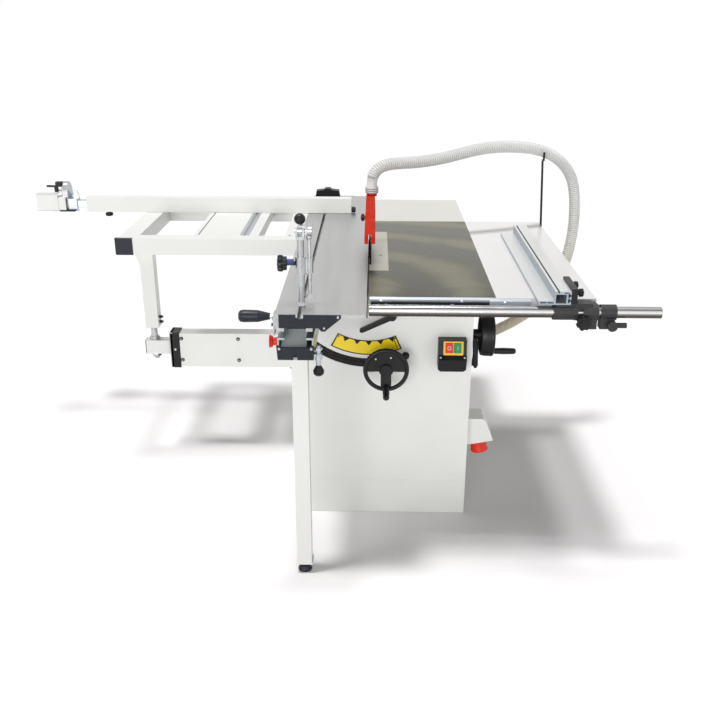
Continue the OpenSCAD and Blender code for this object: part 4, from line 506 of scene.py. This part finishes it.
DRESS = {
    white: "cabinet front_leg machine_inlet outrigger_frame fence_tube flip_stop arm_outer arm_inner",
    bright_rail: "slide_rail",
    navy: "rail_caps carriage_caps",
    machine_grey: "fixed_brackets trunnion_frame rise_arm motor",
    iron: "main_table",
    insert_steel: "table_insert",
    sheets: "extension_tables",
    alu_x: "front_rail fence_extension",
    chrome: "guide_tube",
    black: "switch_box dust_port edging_shoe fence_end_knob fence_lock_knob clamp_knob hood_knob rise_handwheel"
    " rise_grip height_lock tilt_handwheel tilt_grip tilt_lever brake_lever star_knob fence_bracket bracket_knob_1"
    " bracket_knob_2 index_plunger",
    black_paint: "hose_rod riving_knife",
    clear: "suction_hose",
    steel: "ball_cage saw_arbor motor_pulley",
    blade_tone: "saw_blade",
    alu: "sliding_table",
    cast_alu: "carriage_fittings clamp_bracket clamp_lever",
    zinc: "clamp_rod",
    red: "blade_hood",
    knob_red: "stop_button release_knob",
    green: "start_button",
    rubber: "drive_belt",
    grey_cast: "fence_carriage micro_clamp",
    anodised: "rip_fence",
}
SHARP_FROM = np.radians(28)


def dress():
    """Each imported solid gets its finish, and smooth shading between its sharp edges."""
    for finish, names in DRESS.items():
        for name in names.split():
            mesh = cad[name].data
            mesh.materials.clear()
            mesh.materials.append(finish)
            mesh.shade_smooth()
            mesh.set_sharp_from_angle(angle=SHARP_FROM)


dress()


# Hose

HOSE_ROUTE = [
    (-54, 180, 1046), (-54, 180, 1070), (-50, 184, 1092), (-38, 190, 1112), (-16, 198, 1126), (12, 208, 1132),
    (50, 222, 1134), (100, 240, 1134), (160, 262, 1138), (220, 284, 1146), (280, 306, 1158), (340, 330, 1168),
    (400, 356, 1172), (460, 386, 1170), (520, 416, 1163), (575, 442, 1152), (630, 460, 1132), (680, 470, 1098),
    (718, 474, 1050), (738, 474, 990), (746, 470, 920), (746, 462, 850), (738, 452, 780), (722, 440, 710),
    (698, 430, 645), (664, 422, 585), (620, 416, 535), (568, 410, 494), (510, 406, 458), (450, 402, 428),
    (390, 400, 404), (335, 400, 388), (285, 400, 381), (240, 400, 380), (190, 400, 380),
]


CUFF, RIBS, RINGS_PER_RIB = 44.0, 250, 6
VALLEY_R, RIB_DEPTH, HOSE_BORE_R, HOSE_SIDES = 19.0, 3.0, 16.6, 20


def ribbed_hose():
    """Ribs by formula: r = 19.0 + 3.0 (0.5 - 0.5 cos(2 pi s / step))^0.6 between two smooth cuffs."""
    path = flow(HOSE_ROUTE, 12)
    whole = np.linalg.norm(np.diff(path, axis=0), axis=1).sum()
    step = (whole - 2 * CUFF) / RIBS
    ribbed = CUFF + np.arange(RIBS * RINGS_PER_RIB + 1) * step / RINGS_PER_RIB
    run = np.concatenate([[0, CUFF / 2], ribbed, [whole - CUFF / 2, whole]])
    wave = (0.5 - 0.5 * np.cos(2 * np.pi * (run - CUFF) / step)) ** 0.6
    wave[(run < CUFF) | (run > whole - CUFF)] = 0.0
    line = resample(path, run)
    outer = tube(line, VALLEY_R + RIB_DEPTH * wave, HOSE_SIDES)
    inner = tube(line[::RINGS_PER_RIB], HOSE_BORE_R, HOSE_SIDES)
    wall = np.concatenate([outer, inner[::-1]])
    hose = lay("clear_ribbed_hose", wall, "base", clear, ends=False, loop=True, angle=80)

    # each point takes the height of the rib that it lies on, for the finish
    places = np.zeros(len(hose.data.vertices) * 3)
    hose.data.vertices.foreach_get("co", places)
    nearest = np.array([np.argmin(((line - place) ** 2).sum(1)) for place in places.reshape(-1, 3) / MM])
    rib = hose.data.attributes.new("rib", "FLOAT", "POINT")
    rib.data.foreach_set("value", np.where(run[nearest] < CUFF, 1.0, wave[nearest]).astype(np.float32))

    hose.parent = None
    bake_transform(hose)
    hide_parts("suction_hose")


ribbed_hose()


# Cabinet

PANEL_Y = -300.0
SLOT_FROM, SLOT_TO = -43, 19
LIP_BACK, LIP_FRONT = PANEL_Y + 2.2, PANEL_Y + 3.4


def slot_and_scale():
    """Rubber lips of the curved slot, and the angle scale above it on its dark backing."""
    lips = [arc_band(low, high, SLOT_FROM, SLOT_TO, LIP_BACK, LIP_FRONT) for low, high in ((266, 290.4), (291.6, 316))]
    lay("slot_lips", lips, "base", rubber)
    lay("scale_back", arc_band(213, 263, -28.2, 24.2, PANEL_Y - 1.2, PANEL_Y), "base", ink, bevel=0.3)
    lay("scale_face", arc_band(216, 259, -27.2, 23.2, PANEL_Y - 1.8, PANEL_Y - 1.1), "base", yellow, bevel=0.2)


slot_and_scale()

WEDGES_AT, WEDGE_HALF = (-20.0, -10.0, 0.0, 10.0, 20.0), 3.0
WEDGE_TOP_R, WEDGE_TIP_R = 214, 230
DOTS_AT, DOT_R, DOT = (-26.4, 22.6), 221, [(0, 0), (3, 0), (2.4, 1.2), (0, 1.2)]


def scale_marks():
    """Wedges whose tips point down at every tenth degree, an end bar and two fixing dots."""
    marks = []
    for middle in WEDGES_AT:
        a = np.radians([middle - WEDGE_HALF, middle + WEDGE_HALF, middle])
        r = np.array([WEDGE_TOP_R, WEDGE_TOP_R, WEDGE_TIP_R])
        outline = np.stack([BLADE_X + r * np.sin(a), TOP - r * np.cos(a)], -1)
        marks.append(extruded("y", outline, PANEL_Y - 2.3, PANEL_Y - 1.7))
    marks.append(arc_band(218, 257, 21.2, 21.8, PANEL_Y - 2.2, PANEL_Y - 1.7, 4))
    for a in np.radians(DOTS_AT):
        centre = (BLADE_X + DOT_R * np.sin(a), PANEL_Y - 1.4, TOP - DOT_R * np.cos(a))
        marks.append(turned("y", centre, DOT, 16, -1))
    lay("scale_marks", marks, "base", ink)


scale_marks()

PLATE_X, PLATE_Z = (183.0, 246.0), (616.0, 660.0)
WINDOW_X, WINDOW_Z = (189.5, 212.8, 216.4, 239.8), (623.0, 655.0)


def switch_plate():
    """Yellow frame round the two buttons, tilted like the face of the box under it, and their marks."""

    def face(z):
        """The box's face at a height: it leans 10 mm back over 46 mm."""
        return -334.0 - (662.0 - z) * 10.0 / 46.0

    bars = [(*PLATE_X, PLATE_Z[0], WINDOW_Z[0]), (*PLATE_X, WINDOW_Z[1], PLATE_Z[1])]
    for left, right in ((PLATE_X[0], WINDOW_X[0]), WINDOW_X[1:3], (WINDOW_X[3], PLATE_X[1])):
        bars.append((left, right, *WINDOW_Z))
    grids = []
    for left, right, low, high in bars:
        outline = [(face(low) + 1, low), (face(low) - 3, low), (face(high) - 3, high), (face(high) + 1, high)]
        grids.append(extruded("x", outline, left, right))
    lay("switch_plate", grids, "base", amber, bevel=0.6)
    ring = turned("y", (201, -345.6, 640), [(4.6, 0), (6.4, 0), (6.4, 1.2), (4.6, 1.2)], 28, -1)
    lay("stop_mark", ring, "stop_button", mark_white, ends=False, loop=True)
    lay("start_mark", slab(227.2, 229.2, -347.0, -345.2, 634, 646), "start_button", mark_white, bevel=0.3)


switch_plate()

CUP_AT, CUP_LEAN = (325, -215, 256), np.radians(-11)
CUP = [(27.3, 22), (28.6, 20), (28.6, -40), (30.2, -43), (30.2, -48), (26.0, -48), (25.0, -44), (25.0, 22)]


def inlet_cup():
    """Round red shroud that leans out under the white housing."""
    grid = turned("z", (0, 0, 0), CUP, 48)
    x, z = grid[..., 0].copy(), grid[..., 2].copy()
    grid[..., 0] = x * np.cos(CUP_LEAN) + z * np.sin(CUP_LEAN)
    grid[..., 2] = -x * np.sin(CUP_LEAN) + z * np.cos(CUP_LEAN)
    lay("inlet_cup", grid + np.array(CUP_AT, float), "base", knob_red, ends=False, loop=True)


inlet_cup()

# Sliding table and outrigger

TRACK_Y = (236, 724)
DECK_HOLE = [(0, 0.3), (4.2, 0.3), (5, 0), (0, 0)]
TRAY = [(-661, 745), (-660, 744.2), (-580, 787), (-581, 787.8)]
BOSS = [(0, 0), (7, 0), (8.5, 3), (8.5, 8), (6, 10), (0, 10)]
LOCK_SCREW = [(0, 0), (4, 0), (5, 2), (5, 7), (0, 7)]


def outrigger_details():
    """Lips, bed and stop of the T-track, painted shade in the deck's slot and in its hole, the rail's tray and two end
    screws.
    """
    lips = [slab(left, right, *TRACK_Y, 859.4, 860.8) for left, right in ((-549, -537.2), (-524.8, -513))]
    lay("track_strips", lips, "carriage", bright_rail, bevel=0.3)
    lay("track_bed", slab(-538, -524, *TRACK_Y, 857.4, 858.6), "carriage", track_tone)
    lay("track_stop", slab(-556, -505, 696, 722, 853, 866), "carriage", black, bevel=1.5)
    # painted shade: a black strip in the deck's slot
    lay("deck_slot_painted_shade", slab(-706.8, -703.2, 240, 720, 843, 858.8), "carriage", rubber)
    # painted shade: a dark disc for the hole in the deck
    lay("deck_hole_painted_shade", turned("z", (-361, 242, TOP), DECK_HOLE, 20), "carriage", ink)
    lay("rail_tray", extruded("x", TRAY, -307, -234), "base", tray_sheet)
    lay("axle_boss", turned("x", (-326, -655, 846), BOSS, 28), "carriage", black)
    lay("lock_screw", turned("x", (-330, -652, 826), LOCK_SCREW, 20), "carriage", black)


outrigger_details()

# Swing arm


def swing_arm_details():
    """Black caps of both arms, with painted shade in the opening for the inner one, and the outer arm's screws."""
    lay("arm_end_cap", block(-832.6, -794.5, 182, 248, 343, 488), "arm_outer", black, bevel=2.5)
    # painted shade: a dark sheet in the cap's opening round the inner arm
    lay("arm_opening_painted_shade", block(-833.2, -832.0, 194.6, 235.4, 394.6, 451.6), "arm_outer", ink)
    heads = [pan_head((x, 184.8, z), 7.0) for x in (-787, -567) for z in (376, 464)]
    lay("arm_bolts", heads, "arm_outer", black_paint)
    lay("arm_cap_screw", pan_head((-812, 181.9, 420), 5.0), "arm_outer", zinc)
    lay("inner_cap", block(-931.8, -926.4, 195, 235, 396, 451), "arm_inner", black, bevel=2.0)


swing_arm_details()

UPPER_X, LOWER_X = -897, -895
UPPER_NUT = [(0, 451.1), (19, 451.1), (20, 452.5), (20, 462), (18.6, 463.6), (0, 463.6)]
LOWER_NUT = [(0, 395.9), (17.4, 395.9), (18, 394.6), (18, 383), (17, 381.6), (0, 381.6)]
WASHER = [(0, 463.4), (15.5, 463.4), (15.5, 466), (0, 466)]


def thread(x, low, high, radius, depth, pitch, sides):
    """Rod by formula: r = radius + depth sin(2 pi z / pitch)."""
    z = np.arange(low, high, 0.5)
    wave = radius + depth * np.sin(2 * np.pi * z / pitch)
    return turned("z", (x, PIN_Y, 0), np.stack([wave, z], -1), sides)


def threaded_pin():
    """Thread above the inner arm, and its nuts above and below."""
    lay("pin_thread", thread(UPPER_X, 451.2, 504.2, 12.2, 0.6, 3.0, 32), "arm_inner", zinc)
    nuts = [
        turned("z", (UPPER_X, PIN_Y, 0), UPPER_NUT, 6),
        turned("z", (LOWER_X, PIN_Y, 0), LOWER_NUT, 6),
        thread(LOWER_X, 372.0, 382.0, 9.2, 0.5, 2.5, 24),
        turned("z", (UPPER_X, PIN_Y, 0), WASHER, 32),
    ]
    lay("pin_nuts", nuts, "arm_inner", zinc)


threaded_pin()

# Fence and its stop

STOP_ARCH = [(620, 868), (690, 868), (690, 950), (676, 974), (656, 982), (636, 974), (620, 950)]
STOP_NUT = [(0, 944), (9.6, 944), (9.6, 950), (13, 952), (13, 962), (11, 964), (0, 964)]


def fence_stop():
    """White stop plate with its foot, thumb grip, arch and nut."""
    face = [slab(-1442, -1354, 603, 607, 870, 939), slab(-1442, -1354, 603, 636, 936, 939.6)]
    lay("stop_face", face, "flip_stop", white, bevel=0.8)
    lay("stop_foot", slab(-1446, -1353, 606, 700, 865.5, 869), "flip_stop", alu_x, bevel=0.6)
    lay("stop_base", slab(-1352, -1288, 606, 690, 864, 872), "fence_extension", black, bevel=1.0)
    grip = [
        slab(-1366, -1341, 628, 654, 962, 982),
        slab(-1406, -1362, 636, 646, 959, 967),
        slab(-1374, -1360, 634, 648, 939, 964),
    ]
    lay("stop_grip", grip, "flip_stop", black, bevel=2.0)
    lay("stop_arch", extruded("x", STOP_ARCH, -1341, -1316), "fence_extension", cast_alu, bevel=3.0)
    lay("stop_block", turned("z", (-1338, 666, 0), STOP_NUT, 32), "flip_stop", black, bevel=0.4)


fence_stop()

# Clamp

BALL_R = 15.9
SPACER = [(0, 0), (8.6, 0), (8.6, 24), (0, 24)]
EYE = [(9, 0), (14.5, 0), (15.5, 3), (15.5, 10), (14.5, 13), (9, 13)]
SPRING_X, SPRING_Z, SPRING_LENGTH = -225, 1050.6, 7
SPRING_R, SPRING_TURNS, WIRE_R = 7.0, 3, 1.0


def clamp_details():
    """Ball and eye of the cam lever, side knob with its blue spacer, and the press rod's spring."""
    turn = np.linspace(0.15, np.pi - 0.15, 15)
    ball = [(0, -BALL_R)] + [(BALL_R * np.sin(a), -BALL_R * np.cos(a)) for a in turn] + [(0, BALL_R)]
    lay("clamp_ball", turned("z", (-250, CLAMP_Y, 1109), ball, 36), "clamp_lever", black)
    lay("blue_spacer", turned("x", (-270, CLAMP_Y, 986), SPACER, 28, -1), "clamp_bracket", blue)
    lay("clamp_wheel", lobed("x", (-300, CLAMP_Y, 982), 24.5, 16, 8, -1), "clamp_knob", black)
    eye = turned("y", (-243, -582, 1078), EYE, 36)
    lay("lever_eye", eye, "clamp_lever", cast_alu, ends=False, loop=True)
    run = np.linspace(0, 1, 90)
    turn = 2 * np.pi * SPRING_TURNS * run
    x, y = SPRING_X + SPRING_R * np.cos(turn), CLAMP_Y + SPRING_R * np.sin(turn)
    path = np.stack([x, y, SPRING_Z + SPRING_LENGTH * run], -1)
    lay("press_spring", tube(path, WIRE_R, 8, (0, 0, 1)), "clamp_rod", zinc)


clamp_details()

# Brake, hood, handwheels, and painted shade at the rail and in the gaps and slots

PADDLE = [(290, 618), (302, 622), (308, 612), (311, 532), (306, 521), (298, 522), (294, 532)]
CUFF_RING = [(20, 1035), (23.4, 1035), (23.4, 1056), (20, 1056)]
WIRE_RING = [(22.8, -0.9), (24.0, -0.9), (24.0, 0.9), (22.8, 0.9)]
WHEEL_BAND = [(60, -6), (64, -8), (70, -6), (73, 8), (73.4, 30), (66, 30), (64, 8)]


def small_pieces():
    """Painted shade under the front rail, paddle of the brake, cuff of the hood, screws, rim of the side wheel, and
    dark strips of painted shade in the gap between the tables and in the slots of the table and the fence.
    """
    # painted shade: a black strip under the front of the rail
    lay("rail_painted_shade", slab(-52, 312, -507, -505.4, 837.5, 846.5), "base", rubber)
    lay("brake_paddle", extruded("y", PADDLE, -228, -210), "brake_lever", black, bevel=3.0)
    cuff = turned("z", (*SPIGOT, 0), CUFF_RING, 48)
    lay("hood_cuff", cuff, "trunnion", cuff_white, ends=False, loop=True)
    for level in (1037.0, 1043.5, 1050.0):
        dark_rings = turned("z", (*SPIGOT, level), WIRE_RING, 48)
        lay("cuff_wire_%d" % level, dark_rings, "trunnion", black_paint, ends=False, loop=True)
    screws = [pan_head((x, -378.4, z), 3.2) for x, z in ((-35, 613), (13, 618))]
    lay("wheel_screws", screws, "rise_wheel", zinc)
    band = turned("x", (324, -187, 630), WHEEL_BAND, 64)
    lay("side_wheel_band", band, "tilt_wheel", black, ends=False, loop=True)
    # painted shade: black strips in the gap between the sliding table and the cast table
    strips = [slab(-63.2, -60.0, -648, -148, 846, 857), slab(-63.2, -59.2, 215, 905, 846, 848)]
    lay("table_gap_painted_shade", strips, "base", rubber)
    # painted shade: a black strip under the blade's slot in the table
    lay("blade_slot_painted_shade", slab(-59, -53.4, -149, 236, 845, 846.5), "base", rubber)
    # painted shade: a black strip in the slot along the top of the rip fence
    lay("fence_slot_painted_shade", slab(485.3, 489.7, -558, 260, 896, 899.2), "rip_fence", rubber)


small_pieces()

# Light and floor

FLOOR_REACH, FLOOR_Z = 9.0, -0.0006
FLOOR_SEEN, FLOOR_BOUNCE = (0.94, 0.925, 0.925, 1), (0.88, 0.88, 0.88, 1)
WORLD_SOFT, WORLD_SEEN = 0.2, 1.0
SUNS = (
    # name, direction of its rays, width in degrees, strength
    ("overhead", (0.0, -0.12, -1.0), 8.0, 0.75),
    ("leaning", (0.22, 0.03, -1.0), 8.0, 1.65),
    ("slanted", (0.45, 0.14, -1.0), 11.0, 0.3),
    ("front", (0.25, 1.0, -0.07), 34.0, 1.75),
    ("side", (-1.0, 0.75, -0.20), 40.0, 0.45),
)


def lay_floor():
    """White floor that keeps the saw's shadow; it looks warmer than the light that it throws back."""
    mesh = bpy.data.meshes.new("floor")
    corners = [(x * FLOOR_REACH, y * FLOOR_REACH, FLOOR_Z) for x, y in ((-1, -1), (1, -1), (1, 1), (-1, 1))]
    mesh.from_pydata(corners, [], [(0, 1, 2, 3)])
    floor = bpy.data.objects.new("floor", mesh)
    SCENE.collection.objects.link(floor)
    material = bpy.data.materials.new("floor_white")
    material.use_nodes = True
    nodes, links = material.node_tree.nodes, material.node_tree.links
    nodes.clear()
    kinds = ("OutputMaterial", "MixShader", "LightPath", "BsdfDiffuse", "BsdfDiffuse")
    out, mix, path, bounce, seen = (nodes.new("ShaderNode" + kind) for kind in kinds)
    bounce.inputs["Color"].default_value = FLOOR_BOUNCE
    seen.inputs["Color"].default_value = FLOOR_SEEN
    links.new(path.outputs["Is Camera Ray"], mix.inputs[0])
    links.new(bounce.outputs[0], mix.inputs[1])
    links.new(seen.outputs[0], mix.inputs[2])
    links.new(mix.outputs[0], out.inputs["Surface"])
    mesh.materials.append(material)


def light_world():
    """Soft white light from all round; the background, and what gloss and glass show of it, is full white."""
    world = bpy.data.worlds.new("studio")
    SCENE.world = world
    world.use_nodes = True
    nodes, links = world.node_tree.nodes, world.node_tree.links
    nodes.clear()
    kinds = ("OutputWorld", "MixShader", "LightPath", "Background", "Background")
    out, mix, path, soft, bright = (nodes.new("ShaderNode" + kind) for kind in kinds)
    for light, strength in ((soft, WORLD_SOFT), (bright, WORLD_SEEN)):
        light.inputs["Color"].default_value = (1, 1, 1, 1)
        light.inputs["Strength"].default_value = strength
    share = path.outputs["Is Camera Ray"]
    for ray in ("Is Glossy Ray", "Is Transmission Ray"):
        more = nodes.new("ShaderNodeMath")
        more.operation = "MAXIMUM"
        links.new(share, more.inputs[0])
        links.new(path.outputs[ray], more.inputs[1])
        share = more.outputs[0]
    links.new(share, mix.inputs[0])
    links.new(soft.outputs[0], mix.inputs[1])
    links.new(bright.outputs[0], mix.inputs[2])
    links.new(mix.outputs[0], out.inputs[0])


def hang_suns():
    """Lamps whose -Z axis points along their rays."""
    for name, shines, wide, strength in SUNS:
        lamp = bpy.data.lights.new(name, "SUN")
        lamp.angle, lamp.energy = np.radians(wide), strength
        holder = bpy.data.objects.new(name, lamp)
        SCENE.collection.objects.link(holder)
        away = -np.array(shines, float) / np.linalg.norm(shines)
        across = np.cross((0, 1, 0.01), away)
        across /= np.linalg.norm(across)
        turn = np.eye(4)
        turn[:3, 0], turn[:3, 1], turn[:3, 2] = across, np.cross(away, across), away
        turn[:3, 3] = away * 4
        holder.matrix_world = Matrix(turn.tolist())


lay_floor()
light_world()
hang_suns()

SCENE.view_settings.view_transform = "Standard"
